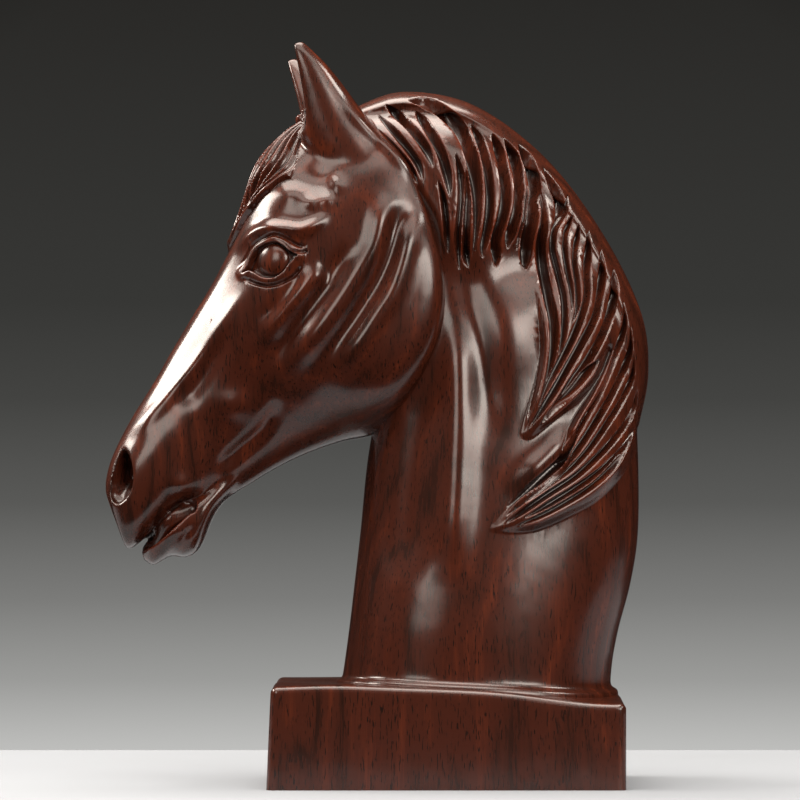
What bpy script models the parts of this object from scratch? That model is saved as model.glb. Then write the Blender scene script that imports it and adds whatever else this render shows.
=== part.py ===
"""Carved wooden horse head on its plinth, cut from one block of dark hardwood.

The bust is drawn in millimetres as an elevation: x runs from the nose (minus) to the crest
(plus), and z runs up from a base line just under the plinth's top. UNIT turns a drawn
millimetre into metres, so the whole bust follows BUST_HEIGHT.
The near side, which carries the full mane, is -Y.
"""
import math

import bmesh
import bpy
import numpy as np
from mathutils import Vector
from mathutils.bvhtree import BVHTree

# Driving sizes in metres
BUST_HEIGHT = 0.257             # plinth top to the tip of the taller ear
PLINTH_HEIGHT = 0.041           # at its front end, where the top is level
PLINTH_FRONT_STEP = 0.028       # plinth top left bare in front of the neck
PLINTH_BACK_STEP = 0.004
PLINTH_SIDE_STEP = 0.0085
PLINTH_LEVEL = 0.050            # length of the top that is level, from its front end
PLINTH_TOP_FALL = 0.0066        # how far the hand-worked top then falls, along the near side
PLINTH_FAR_FALL = 0.0033        # and along the far side
PLINTH_CORNER_RADIUS = 0.003    # upright corners and top edges
PLINTH_FLARE = 0.0018           # the front end leans out this much at its foot
FOOT_FILLET = 0.003             # hollow round the foot of the neck

# Fineness of the carved surface
VOXEL = 0.0009
BUST_TRIANGLES = 9700
RING_SIDES = 40                 # points round a section of the head or an ear
NECK_SIDES = 64
STEPS_PER_ROW = 6               # points of a smooth curve for each row that it is drawn with
PLINTH_CUTS = 10                # cross sections along the plinth that let its top fall
EASING_ROUNDS = 12              # how long the rough shape is rubbed down
EASING_SHARE = 0.5
SHARP_ANGLE = 40.0              # degrees

# Head, from the lips to the back of the jaw. Each row is the top of a section (x, z), its
# bottom (x, z), its half width, the share of its depth at which it is widest, and how full
# it is above and below that place (2 is an ellipse, more is squarer).
HEAD = (
    (-136.9, 79.5, -129.6, 60.0, 9.0, 0.50, 2.4, 2.6),
    (-136.7, 84.5, -127.6, 56.2, 13.5, 0.50, 2.4, 2.8),
    (-134.8, 92.0, -121.5, 60.0, 16.5, 0.50, 2.4, 2.8),
    (-130.8, 101.0, -113.0, 69.0, 18.0, 0.52, 2.3, 2.5),
    (-125.0, 111.5, -105.0, 74.5, 18.3, 0.52, 2.3, 2.4),
    (-117.5, 123.5, -92.0, 74.5, 18.0, 0.48, 2.3, 2.2),
    (-110.2, 136.4, -80.0, 81.6, 18.4, 0.42, 2.3, 2.1),
    (-101.6, 150.8, -68.0, 88.8, 20.5, 0.38, 2.3, 2.1),
    (-93.0, 165.2, -55.5, 94.8, 24.5, 0.34, 2.4, 2.2),
    (-85.4, 180.2, -41.5, 99.6, 28.5, 0.33, 2.5, 2.5),
    (-80.0, 195.2, -27.0, 103.0, 31.0, 0.36, 2.6, 4.0),
    (-74.5, 210.8, -12.0, 113.5, 31.5, 0.42, 2.5, 7.0),
    (-64.5, 223.0, -0.5, 133.5, 31.0, 0.50, 2.4, 9.0),
    (-49.0, 230.5, 2.5, 157.0, 29.5, 0.55, 2.2, 9.0),
    (-32.5, 233.0, -1.0, 179.0, 26.0, 0.55, 2.1, 5.0),
    (-22.0, 229.0, -7.5, 201.5, 19.0, 0.50, 2.0, 2.0),
)

# Lower lip and chin, and the solid wood that closes the mouth behind the lips.
LOWER_JAW = (
    (-122.0, 56.2, -121.4, 51.8, 4.0, 0.50, 2.0, 2.0),
    (-119.8, 58.6, -117.8, 49.9, 8.5, 0.45, 2.0, 2.0),
    (-114.0, 61.6, -111.0, 53.2, 10.5, 0.40, 2.0, 2.0),
    (-108.0, 65.4, -104.5, 53.0, 11.5, 0.50, 2.0, 2.4),
    (-101.0, 70.0, -98.8, 57.2, 12.0, 0.50, 2.0, 2.4),
    (-94.0, 78.0, -92.5, 71.5, 11.5, 0.50, 2.0, 2.0),
    (-84.0, 90.0, -83.0, 81.5, 9.0, 0.50, 2.0, 2.0),
)
MOUTH_CORE = (
    (-120.0, 66.0, -117.0, 55.5, 2.0, 0.50, 2.0, 2.0),
    (-112.0, 78.0, -108.5, 59.0, 5.5, 0.50, 2.0, 2.0),
    (-98.0, 86.0, -97.0, 66.0, 7.0, 0.50, 2.0, 2.0),
)

# Neck, from the plinth to the poll, laid out like the head from its front to its crest.
NECK = (
    (-40.8, 7.0, 67.3, 7.0, 38.6, 0.46, 2.4, 2.4),
    (-38.5, 23.5, 70.3, 23.5, 38.0, 0.46, 2.4, 2.3),
    (-36.2, 43.0, 75.4, 43.0, 36.4, 0.46, 2.3, 2.2),
    (-33.8, 64.0, 78.4, 64.0, 34.2, 0.46, 2.3, 2.1),
    (-31.0, 92.0, 78.4, 96.0, 31.2, 0.44, 2.2, 2.0),
    (-26.5, 118.0, 76.6, 122.0, 28.6, 0.42, 2.2, 1.9),
    (-21.5, 146.0, 72.0, 152.0, 26.2, 0.40, 2.2, 1.8),
    (-20.0, 170.0, 54.5, 186.5, 24.4, 0.42, 2.2, 1.8),
    (-26.5, 187.5, 24.0, 221.0, 22.0, 0.45, 2.1, 1.9),
    (-36.5, 196.5, -9.0, 233.0, 19.5, 0.50, 2.0, 2.0),
    (-46.0, 201.5, -36.5, 231.0, 14.0, 0.50, 2.0, 2.0),
)

# Near ear: front (x, z), back (x, z), half width and distance of the section's middle from
# the middle plane.
EAR = (
    (-50.0, 202.0, -13.0, 207.0, 9.0, 14.0),
    (-54.5, 216.0, -21.0, 218.5, 9.8, 14.5),
    (-57.0, 229.0, -31.5, 230.5, 9.2, 15.0),
    (-58.2, 240.0, -40.2, 242.0, 7.6, 16.3),
    (-59.4, 249.0, -47.0, 250.5, 5.6, 17.8),
    (-60.4, 255.5, -53.6, 256.3, 3.2, 18.8),
    (-61.2, 259.6, -59.6, 260.0, 0.9, 19.4),
)

# Drawn heights of the plinth's top at its front end and of the ear's tip set the scale.
DRAWN_BASE = 2.8
UNIT = BUST_HEIGHT / (EAR[-1][3] - DRAWN_BASE)
FOOT_BLEND = 14.0               # the neck follows the plinth's falling top up to this height

EAR_HOLLOW = 0.50               # how deep the front of the ear is scooped, as a share
EAR_HOLLOW_WIDTH = 0.55         # and how wide
EAR_HOLLOW_START = (224.0, 234.0)   # drawn heights between which the hollow opens
FAR_EAR_LEAN = (-5.0, -3.0)     # the far ear's tip is this much further forward and lower
EAR_BLEND = (229.0, 239.0)      # the ears are rubbed down into the head up to these heights

# Smooth band along the crest, above the roots of the mane: (x, z, radius, half width)
CREST = (
    (-40.0, 228.5, 3.0, 8.0), (-30.0, 232.8, 4.8, 11.0), (-14.0, 235.6, 6.0, 12.5),
    (10.0, 229.4, 7.0, 13.0), (36.0, 209.4, 7.4, 13.5), (57.4, 181.2, 7.4, 13.5),
    (72.4, 151.0, 7.4, 13.0), (76.4, 128.0, 6.4, 12.0), (75.0, 106.0, 3.8, 10.0),
)

# Groups of mane strands. The two guide curves (x, z) bound a group from root to tip, and
# the strands are spread evenly between them: guides, count, lift over the neck, and how
# far along the guides the strands' tips are staggered.
MANE = (
    (((-27.0, 228.5), (-18.0, 218.5), (-12.5, 209.5), (-8.5, 199.0)),
     ((-15.0, 234.0), (-6.0, 226.0), (0.5, 213.0), (2.0, 194.0)), 3, 3.8, 0.05),
    (((-11.5, 233.0), (0.0, 223.0), (5.5, 205.0), (6.0, 183.5), (1.5, 165.0)),
     ((33.5, 213.0), (39.0, 200.5), (37.5, 187.5), (33.0, 175.5), (31.5, 161.0)), 7, 4.2, 0.07),
    (((37.0, 207.0), (38.5, 190.0), (36.0, 173.5), (37.5, 151.5), (37.0, 129.5), (29.0, 102.0)),
     ((55.5, 184.0), (58.0, 170.5), (55.5, 153.5), (47.0, 136.0), (38.5, 117.0), (31.0, 101.0)),
     4, 4.4, 0.08),
    (((57.0, 182.0), (61.0, 166.5), (57.5, 149.5), (48.5, 135.0), (40.5, 117.0), (34.0, 98.0)),
     ((73.5, 150.0), (74.0, 133.5), (67.5, 119.5), (58.0, 109.5), (49.0, 102.5), (43.0, 98.5)),
     5, 4.2, 0.10),
    (((72.0, 146.0), (72.5, 127.0), (64.0, 110.0), (49.5, 94.5), (33.0, 81.5), (18.0, 66.0)),
     ((77.0, 125.0), (76.5, 106.0), (69.5, 88.5), (57.0, 76.0), (41.0, 68.5), (19.5, 63.5)),
     5, 4.4, 0.03),
)
STRAND_OVERLAP = 1.02           # width of a strand over the distance to its neighbour
STRAND_LEAST = 1.2              # least half width
STRAND_STEEPNESS = 1.8          # most lift over half width
STRAND_THINNING = 0.25          # share of its width that a strand loses on its way
STRAND_BLUNTNESS = 5            # a higher power keeps the strand broad until nearer its tip
STRAND_ROOT = (0.15, 0.16)      # share of the lift at the root, and where the full lift begins
STRAND_TILT = 0.6               # how far the lift turns from the surface out to the side
STRAND_SECTIONS = 26
STRAND_SIDES = 14
FAR_STRAND_SHARE = 0.6          # the far side of the mane has this share of the strands
OUTSIDE = 150.0                 # drawn distance from the middle plane that clears the bust
CREST_SIDE = 10.0               # drawn distance at which hair past the outline meets the crest

# Forelock between the ears, falling down the forehead: the guides are (x, z, y).
FORELOCK = (((-46.0, 231.0, 5.0), (-56.0, 219.0, 17.0), (-63.0, 206.0, 21.0), (-73.0, 192.0, 17.0),
             (-84.0, 179.0, 9.0)),
            ((-46.0, 231.0, -5.0), (-55.0, 219.0, -18.0), (-62.0, 206.0, -22.0), (-72.0, 192.0, -19.0),
             (-83.0, 178.0, -10.0)),
            9, 2.6, 0.14)       # count, lift and stagger as in the mane

# Low forms on both sides of the head and neck: path (x, z), half width and height in
# drawn millimetres. A minus height is a hollow.
FORMS = (
    (((-70.0, 187.0), (-60.5, 184.0), (-53.5, 185.5), (-45.0, 190.5)), 3.6, 2.4),
    (((-60.0, 198.0), (-51.0, 201.0), (-43.0, 201.0)), 6.5, -2.6),
    (((-46.5, 167.5), (-52.5, 163.0), (-64.0, 151.5), (-77.5, 131.5)), 4.0, 1.3),
    (((-58.0, 173.0), (-62.0, 158.0), (-75.0, 146.0)), 3.0, -0.9),
    (((-22.0, 202.0), (-24.5, 190.5), (-27.5, 178.0), (-34.0, 166.5), (-45.0, 150.0),
      (-55.5, 136.5), (-68.0, 122.5)), 4.5, 1.9),
    (((-38.0, 180.0), (-47.0, 163.0), (-60.0, 144.0), (-72.0, 128.0)), 3.6, -1.5),
    (((-11.5, 192.0), (-14.5, 180.0), (-20.0, 160.5), (-26.5, 150.0), (-35.5, 136.5),
      (-44.0, 127.0)), 4.4, 1.9),
    (((-18.0, 196.0), (-19.5, 185.5), (-23.5, 170.5), (-31.5, 155.5), (-42.5, 139.5),
      (-61.5, 116.0)), 3.4, -1.8),
    (((-86.0, 116.0), (-79.0, 112.0)), 6.5, 1.6),
    (((-66.0, 118.0), (-72.0, 105.0), (-82.0, 96.0), (-93.0, 86.5)), 3.6, -1.8),
    (((-79.0, 162.5), (-98.0, 132.5), (-112.0, 116.0), (-127.0, 99.5)), 3.6, 1.5),
    (((-84.0, 150.0), (-98.0, 125.0), (-108.0, 112.0)), 5.0, -1.4),
    (((-2.0, 190.0), (2.0, 166.5), (3.5, 148.5), (2.0, 136.0), (-2.0, 123.5), (-9.0, 113.5),
      (-19.0, 105.0), (-30.0, 98.0)), 2.6, -2.2),
    (((7.0, 134.0), (7.0, 100.0), (6.5, 66.0)), 6.0, 2.6),
    (((3.5, 180.0), (9.0, 155.0), (12.0, 128.0)), 6.0, -2.4),
    (((-8.0, 118.0), (-14.0, 92.0), (-16.0, 60.0)), 8.0, -2.4),
    (((27.0, 160.0), (29.0, 132.0)), 9.0, 2.0),
    (((18.5, 112.0), (17.0, 80.0)), 6.0, -2.0),
    (((44.0, 97.0), (34.0, 88.0)), 5.5, 1.4),
)
FORM_FADE = 0.25                # share of a form's length over which each end dies away
FORM_END = 0.25                 # share of the height left at its ends

# Eye: places and radii in drawn millimetres
EYE = (-69.3, 172.2)
EYEBALL_RADII = (6.6, 5.9)
SOCKET_RADII = (12.0, 9.0)
SOCKET_DEPTH = 3.0
EYEBALL_LIFT = 3.4
UPPER_LID = ((-82.5, 168.5), (-76.5, 177.5), (-69.5, 181.0), (-62.5, 179.0), (-55.5, 175.5))
LOWER_LID = ((-81.5, 167.0), (-76.0, 167.0), (-70.5, 163.6), (-64.5, 165.6), (-57.5, 172.0))
LID_HALF_WIDTH = 1.5
LID_LIFT = 1.7

# Nostril: a teardrop scooped into the side of the muzzle
NOSTRIL = (-129.8, 85.5)
NOSTRIL_RADII = (5.2, 12.4)
NOSTRIL_DEPTH = 7.0
NOSTRIL_FLOOR = 0.35            # share of the radii that is scooped to the full depth
NOSTRIL_RIM = (1.2, 0.25, 0.9)  # where the raised rim lies and how wide it is over the radii; height
NOSTRIL_TURN = (0.45, -0.85)    # the scoop runs this far back and this far inwards
NOSTRIL_WALL = (1.5, 4.0)       # wood kept between the nostrils, from the middle plane

# Colour of the finish
WOOD_COLOUR = (0.060, 0.016, 0.010, 1.0)
WOOD_ROUGHNESS = 0.25


def clear_scene():
    for item in list(bpy.data.objects):
        bpy.data.objects.remove(item, do_unlink=True)


def bust_offset():
    """X shift in metres that puts the middle of the plinth over the origin."""
    front = NECK[0][0] * UNIT - PLINTH_FRONT_STEP
    back = NECK[0][2] * UNIT + PLINTH_BACK_STEP
    return -(front + back) / 2


def place(x, y, z):
    """World place of a drawn point."""
    return Vector((x * UNIT + bust_offset(), y * UNIT, (z - DRAWN_BASE) * UNIT + PLINTH_HEIGHT))


def drawn_height(points):
    return (points[:, 2] - PLINTH_HEIGHT) / UNIT + DRAWN_BASE


def curve_through(rows, count=None, reach=1.0):
    """Rows of numbers on one smooth curve (Catmull-Rom) through the given rows, up to a
    share of its way."""
    rows = np.asarray(rows, dtype=float)
    ends = np.vstack((2 * rows[0] - rows[1], rows, 2 * rows[-1] - rows[-2]))
    steps = np.linspace(0.0, (len(rows) - 1) * reach, count or STEPS_PER_ROW * len(rows))
    index = np.minimum(steps.astype(int), len(rows) - 2)
    t = (steps - index)[:, None]
    p0, p1, p2, p3 = (ends[index + k] for k in range(4))
    return 0.5 * (2 * p1 + (p2 - p0) * t + (2 * p0 - 5 * p1 + 4 * p2 - p3) * t ** 2
                  + (3 * p1 - p0 - 3 * p2 + p3) * t ** 3)


def smoothstep(low, high, value):
    share = np.clip((value - low) / (high - low), 0.0, 1.0)
    return share * share * (3 - 2 * share)


def skin(name, rings):
    """A closed mesh object over rings of points, capped at both ends."""
    body = bmesh.new()
    loops = [[body.verts.new(point) for point in ring] for ring in rings]
    for low, high in zip(loops, loops[1:]):
        for j in range(len(low)):
            k = (j + 1) % len(low)
            body.faces.new((low[j], low[k], high[k], high[j]))
    body.faces.new(loops[0][::-1])
    body.faces.new(loops[-1])
    bmesh.ops.recalc_face_normals(body, faces=body.faces)
    mesh = bpy.data.meshes.new(name)
    body.to_mesh(mesh)
    body.free()
    item = bpy.data.objects.new(name, mesh)
    bpy.context.scene.collection.objects.link(item)
    return item


def section_ring(row, sides=RING_SIDES):
    """One section of the head or neck as drawn points, round from top to bottom and back."""
    top_x, top_z, low_x, low_z, half, widest, full_top, full_low = row
    ring = []
    for j in range(sides):
        angle = 2 * math.pi * j / sides
        share = (1 - math.cos(angle)) / 2
        if share < widest:
            width = 1 - ((widest - share) / widest) ** full_top
        else:
            width = 1 - ((share - widest) / (1 - widest)) ** full_low
        y = math.copysign(half * math.sqrt(max(width, 0.0)), math.sin(angle))
        ring.append((top_x + (low_x - top_x) * share, y, top_z + (low_z - top_z) * share))
    return ring


def carved_length(name, rows):
    """A length of the bust over its sections."""
    rings = [[place(*point) for point in section_ring(row)] for row in curve_through(rows)]
    return skin(name, rings)


def plinth_half_width():
    return NECK[0][4] * UNIT + PLINTH_SIDE_STEP


def plinth_half_length():
    return ((NECK[0][2] - NECK[0][0]) * UNIT + PLINTH_FRONT_STEP + PLINTH_BACK_STEP) / 2


def plinth_fall(x, y):
    """How far the plinth's top lies under its full height at a place, in metres."""
    back = plinth_half_length()
    along = smoothstep(PLINTH_LEVEL - back, back, x)
    far = (np.clip(y / plinth_half_width(), -1.0, 1.0) + 1) / 2
    return along * (PLINTH_TOP_FALL * (1 - far) + PLINTH_FAR_FALL * far)


def neck():
    """The neck, with a hollow fillet round its foot that follows the plinth's top."""
    rows = []
    for spread, z in ((1.0, -PLINTH_HEIGHT / 4), (1.0, 0.0), (0.3, 0.5 * FOOT_FILLET)):
        front_x, _, back_x, _, half, widest, full_top, full_low = NECK[0]
        front, back, side = (spread * min(FOOT_FILLET, step) / UNIT
                             for step in (PLINTH_FRONT_STEP, PLINTH_BACK_STEP, PLINTH_SIDE_STEP))
        height = z / UNIT + DRAWN_BASE
        rows.append((front_x - front, height, back_x + back, height, half + side,
                     widest, full_top, full_low))
    rings = []
    for row in curve_through(rows + list(NECK)):
        ring = []
        for x, y, z in section_ring(row, NECK_SIDES):
            point = place(x, y, z)
            near_foot = 1 - smoothstep(0.0, FOOT_BLEND, z)
            point.z -= float(plinth_fall(point.x, point.y) * near_foot)
            ring.append(point)
        rings.append(ring)
    return skin("neck", rings)


def ear(side):
    """One ear: a cone with a scooped front, on the near (-1) or far (1) side."""
    rows = [list(row) for row in EAR]
    if side > 0:
        for row in rows:
            rise = (row[1] - EAR[0][1]) / (EAR[-1][1] - EAR[0][1])
            for k in (0, 2):
                row[k] += FAR_EAR_LEAN[0] * rise
                row[k + 1] += FAR_EAR_LEAN[1] * rise
    rings = []
    for front_x, front_z, back_x, back_z, half, middle in curve_through(rows):
        ring = []
        for j in range(RING_SIDES):
            angle = 2 * math.pi * j / RING_SIDES
            share = (1 - math.cos(angle)) / 2
            y = half * math.sin(angle)
            if math.cos(angle) > 0:
                scoop = EAR_HOLLOW * math.exp(-(y / (EAR_HOLLOW_WIDTH * half)) ** 2)
                share += scoop * float(smoothstep(*EAR_HOLLOW_START, front_z)) * (1 - share)
            ring.append(place(front_x + (back_x - front_x) * share, side * middle + y,
                              front_z + (back_z - front_z) * share))
        rings.append(ring)
    return skin("ear", rings)


def crest():
    """The smooth band along the top of the neck."""
    path = curve_through(CREST)
    rings = []
    for i, (x, z, radius, half) in enumerate(path):
        ahead = path[min(i + 1, len(path) - 1)]
        behind = path[max(i - 1, 0)]
        run = Vector((ahead[0] - behind[0], 0.0, ahead[1] - behind[1])).normalized()
        out = Vector((-run.z, 0.0, run.x))
        ring = []
        for j in range(RING_SIDES):
            angle = 2 * math.pi * j / RING_SIDES
            off = out * (radius * math.cos(angle))
            ring.append(place(x + off.x, half * math.sin(angle), z + off.z))
        rings.append(ring)
    return skin("crest", rings)


def surface_tree(item):
    body = bmesh.new()
    body.from_mesh(item.data)
    tree = BVHTree.FromBMesh(body)
    body.free()
    return tree


def laid_point(tree, x, z, side):
    """The point of a surface seen at a drawn (x, z) from one side, and its normal there."""
    origin = place(x, side * OUTSIDE, z)
    hit, normal, _, _ = tree.ray_cast(origin, Vector((0.0, -side, 0.0)))
    if hit is None:
        hit, normal, _, _ = tree.find_nearest(place(x, side * CREST_SIDE, z))
    return hit, normal


def strand(name, points, normals, half_widths, lifts):
    """A tapered lock of hair lying on a surface."""
    angles = [2 * math.pi * j / STRAND_SIDES for j in range(STRAND_SIDES)]
    rings = []
    for i, (point, normal) in enumerate(zip(points, normals)):
        run = points[min(i + 1, len(points) - 1)] - points[max(i - 1, 0)]
        across = run.cross(normal).normalized()
        rings.append([point + across * (half_widths[i] * math.cos(angle))
                      + normal * (lifts[i] * math.sin(angle)) for angle in angles])
    return skin(name, rings)


def strand_sizes(spread, count, lift):
    """Half widths and lifts along a strand: soft at the root and pointed at the tip."""
    t = np.linspace(0.0, 1.0, STRAND_SECTIONS)
    taper = np.sqrt(1 - t ** STRAND_BLUNTNESS) * (1 - STRAND_THINNING * t)
    taper[-1] = taper[-2] / 4
    root, full = STRAND_ROOT
    rise = root + (1 - root) * smoothstep(0.0, full, t)
    half = np.maximum(spread / (2 * count) * STRAND_OVERLAP, STRAND_LEAST) * taper
    return half * UNIT, np.minimum(lift * rise * taper, STRAND_STEEPNESS * half) * UNIT


def strand_course(guides, share, reach):
    """The places along a strand between two guides, and the guides' distance there."""
    first, last = (curve_through(guide, STRAND_SECTIONS, reach) for guide in guides)
    return first * (1 - share) + last * share, np.linalg.norm(first - last, axis=1)


def mane_side(tree, side):
    """All strands of the mane on one side."""
    strands = []
    for guide_a, guide_b, count, lift, stagger in MANE:
        if side > 0:
            count = max(2, round(count * FAR_STRAND_SHARE))
        for k in range(count):
            path, spread = strand_course((guide_a, guide_b), (k + 0.5) / count,
                                         1.0 - stagger * (k % 2))
            laid = [laid_point(tree, x, z, side) for x, z in path]
            points = [hit for hit, _ in laid]
            outward = Vector((0.0, side * STRAND_TILT, 0.0))
            normals = [(normal + outward).normalized() for _, normal in laid]
            strands.append(strand("mane", points, normals, *strand_sizes(spread, count, lift)))
    return strands


def forelock(tree):
    """Strands fanned over the forehead between the ears."""
    guide_a, guide_b, count, lift, stagger = FORELOCK
    strands = []
    for k in range(count):
        path, spread = strand_course((guide_a, guide_b), k / (count - 1), 1.0 - stagger * (k % 2))
        laid = [tree.find_nearest(place(x, y, z)) for x, z, y in path]
        points = [hit for hit, _, _, _ in laid]
        normals = [normal for _, normal, _, _ in laid]
        strands.append(strand("forelock", points, normals, *strand_sizes(spread, count, lift)))
    return strands


def settled(item):
    """The object with its modifiers turned into mesh."""
    graph = bpy.context.evaluated_depsgraph_get()
    mesh = bpy.data.meshes.new_from_object(item.evaluated_get(graph))
    item.modifiers.clear()
    item.data = mesh
    return item


def fused(name, items):
    """The items joined and skinned over as one closed surface."""
    body = bmesh.new()
    for item in items:
        body.from_mesh(item.data)
        bpy.data.objects.remove(item, do_unlink=True)
    mesh = bpy.data.meshes.new(name)
    body.to_mesh(mesh)
    body.free()
    joined = bpy.data.objects.new(name, mesh)
    bpy.context.scene.collection.objects.link(joined)
    remesh = joined.modifiers.new("carve", "REMESH")
    remesh.mode = "VOXEL"
    remesh.voxel_size = VOXEL
    return settled(joined)


def read_points(mesh):
    points = np.empty(len(mesh.vertices) * 3)
    mesh.vertices.foreach_get("co", points)
    return points.reshape(-1, 3)


def write_points(mesh, points):
    mesh.vertices.foreach_set("co", points.ravel())
    mesh.update()


def eased(item, rounds, ears_held=False):
    """Rub the surface down: each vertex moves towards the middle of its neighbours."""
    mesh = item.data
    points = read_points(mesh)
    share = EASING_SHARE
    if ears_held:
        share = share * (1 - smoothstep(*EAR_BLEND, drawn_height(points)))
    edges = np.empty(len(mesh.edges) * 2, dtype=np.int64)
    mesh.edges.foreach_get("vertices", edges)
    start, end = edges.reshape(-1, 2).T
    degree = np.maximum(np.bincount(edges, minlength=len(points)), 1)
    for _ in range(rounds):
        for axis in range(3):
            line = points[:, axis]
            total = np.bincount(start, line[end], len(line))
            total += np.bincount(end, line[start], len(line))
            line += share * (total / degree - line)
    write_points(mesh, points)


def path_distance(x, z, path):
    """Distance of drawn places from a path, and the share of the path where it is nearest."""
    path = curve_through(path)
    nearest = np.full(len(x), np.inf)
    share = np.zeros(len(x))
    for i, ((ax, az), (bx, bz)) in enumerate(zip(path, path[1:])):
        run = (bx - ax, bz - az)
        along = np.clip(((x - ax) * run[0] + (z - az) * run[1]) / (run[0] ** 2 + run[1] ** 2), 0, 1)
        distance = np.hypot(x - ax - along * run[0], z - az - along * run[1])
        closer = distance < nearest
        nearest[closer] = distance[closer]
        share[closer] = (i + along[closer]) / (len(path) - 1)
    return nearest, share


def carve_sides(item):
    """Push the sides out and in for the muscles, bones, eyes and nostrils."""
    mesh = item.data
    points = read_points(mesh)
    facing = np.empty(len(points) * 3)
    mesh.vertex_normals.foreach_get("vector", facing)
    facing = facing.reshape(-1, 3)
    x = (points[:, 0] - bust_offset()) / UNIT
    z = drawn_height(points)
    side = np.sign(points[:, 1])
    outward = np.clip(facing[:, 1] * side, 0.0, 1.0) ** 0.5
    lift = np.zeros(len(points))
    for path, width, height in FORMS:
        distance, share = path_distance(x, z, path)
        fade = smoothstep(0.0, FORM_FADE, share) * smoothstep(0.0, FORM_FADE, 1 - share)
        lift += height * (FORM_END + (1 - FORM_END) * fade) * np.exp(-(distance / width) ** 2)
    across, up = x - EYE[0], z - EYE[1]
    socket = np.hypot(across / SOCKET_RADII[0], up / SOCKET_RADII[1])
    ball = np.hypot(across / EYEBALL_RADII[0], up / EYEBALL_RADII[1])
    lift -= SOCKET_DEPTH * np.exp(-socket ** 4)
    lift += EYEBALL_LIFT * np.sqrt(np.clip(1 - ball ** 2, 0.0, 1.0))
    for lid in (UPPER_LID, LOWER_LID):
        lift += LID_LIFT * np.exp(-(path_distance(x, z, lid)[0] / LID_HALF_WIDTH) ** 2)
    points[:, 1] += side * outward * lift * UNIT
    rim = np.hypot((x - NOSTRIL[0]) / NOSTRIL_RADII[0], (z - NOSTRIL[1]) / NOSTRIL_RADII[1])
    rim_at, rim_width, rim_height = NOSTRIL_RIM
    scoop = NOSTRIL_DEPTH * (1 - smoothstep(NOSTRIL_FLOOR, 1.0, rim))
    scoop -= rim_height * np.exp(-((rim - rim_at) / rim_width) ** 2)
    scoop *= smoothstep(*NOSTRIL_WALL, np.abs(points[:, 1]) / UNIT)
    points[:, 0] += NOSTRIL_TURN[0] * scoop * UNIT
    points[:, 1] += NOSTRIL_TURN[1] * side * scoop * UNIT
    write_points(mesh, points)


def thinned(item, triangles):
    """The surface in fewer and larger facets."""
    item.data.calc_loop_triangles()
    decimate = item.modifiers.new("facets", "DECIMATE")
    decimate.ratio = triangles / len(item.data.loop_triangles)
    return settled(item)


def plinth():
    """The block that the neck grows out of, with a hand-worked top."""
    half_length, half_width = plinth_half_length(), plinth_half_width()
    radius = PLINTH_CORNER_RADIUS
    body = bmesh.new()
    bmesh.ops.create_cube(body, size=1.0)
    for corner in body.verts:
        corner.co.x *= 2 * half_length
        corner.co.y *= 2 * half_width
        corner.co.z = (corner.co.z + 0.5) * PLINTH_HEIGHT
    top = [edge for edge in body.edges if max(v.co.z for v in edge.verts) > 0]
    bmesh.ops.bevel(body, geom=top, offset=radius, segments=3, profile=0.5, affect="EDGES")
    for x in np.linspace(-half_length, half_length, PLINTH_CUTS + 2)[1:-1]:
        bmesh.ops.bisect_plane(body, geom=body.verts[:] + body.edges[:] + body.faces[:],
                               plane_co=(x, 0, 0), plane_no=(1, 0, 0))
    for vert in body.verts:
        rise = vert.co.z / PLINTH_HEIGHT
        vert.co.z -= float(plinth_fall(vert.co.x, vert.co.y)) * rise
        if vert.co.x + half_length < 2 * radius:
            vert.co.x -= PLINTH_FLARE * (1 - rise)
    bmesh.ops.recalc_face_normals(body, faces=body.faces)
    mesh = bpy.data.meshes.new("plinth")
    body.to_mesh(mesh)
    body.free()
    item = bpy.data.objects.new("plinth", mesh)
    bpy.context.scene.collection.objects.link(item)
    return item


def joined_with(item, other):
    """A Boolean union of two objects."""
    union = item.modifiers.new("join", "BOOLEAN")
    union.operation = "UNION"
    union.object = other
    settled(item)
    bpy.data.objects.remove(other, do_unlink=True)
    return item


def dark_hardwood():
    material = bpy.data.materials.new("polished dark rosewood")
    material.use_nodes = True
    shader = material.node_tree.nodes["Principled BSDF"]
    shader.inputs["Base Color"].default_value = WOOD_COLOUR
    shader.inputs["Roughness"].default_value = WOOD_ROUGHNESS
    shader.inputs["Metallic"].default_value = 0.0
    return material


def main():
    clear_scene()
    head = carved_length("head", HEAD)
    jaw = carved_length("lower jaw", LOWER_JAW)
    core = carved_length("mouth", MOUTH_CORE)
    blank = fused("blank", [head, jaw, core, neck(), crest(), ear(-1), ear(1)])
    eased(blank, EASING_ROUNDS, ears_held=True)
    tree = surface_tree(blank)
    hair = mane_side(tree, -1) + mane_side(tree, 1) + forelock(tree)
    bust = fused("carved_horse_head", [blank] + hair)
    eased(bust, 1)
    carve_sides(bust)
    thinned(bust, BUST_TRIANGLES)
    joined_with(bust, plinth())
    bust.data.materials.clear()
    bust.data.materials.append(dark_hardwood())
    bust.data.shade_smooth()
    bust.data.set_sharp_from_angle(angle=math.radians(SHARP_ANGLE))


main()
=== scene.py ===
"""Looks of a carved wooden horse head: one block of dark rosewood, carved, sanded and lacquered.

The bust is drawn in millimetres as an elevation: x runs from the nose (minus) to the crest
(plus), y across, and z up from a base line just under the plinth's top. The near side, which
carries the full mane, is -Y. Each piece is made in the order a carver would take: blocked out
from its sections, rubbed down, given its low forms, cut with the gouge, and finished.
"""

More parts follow.
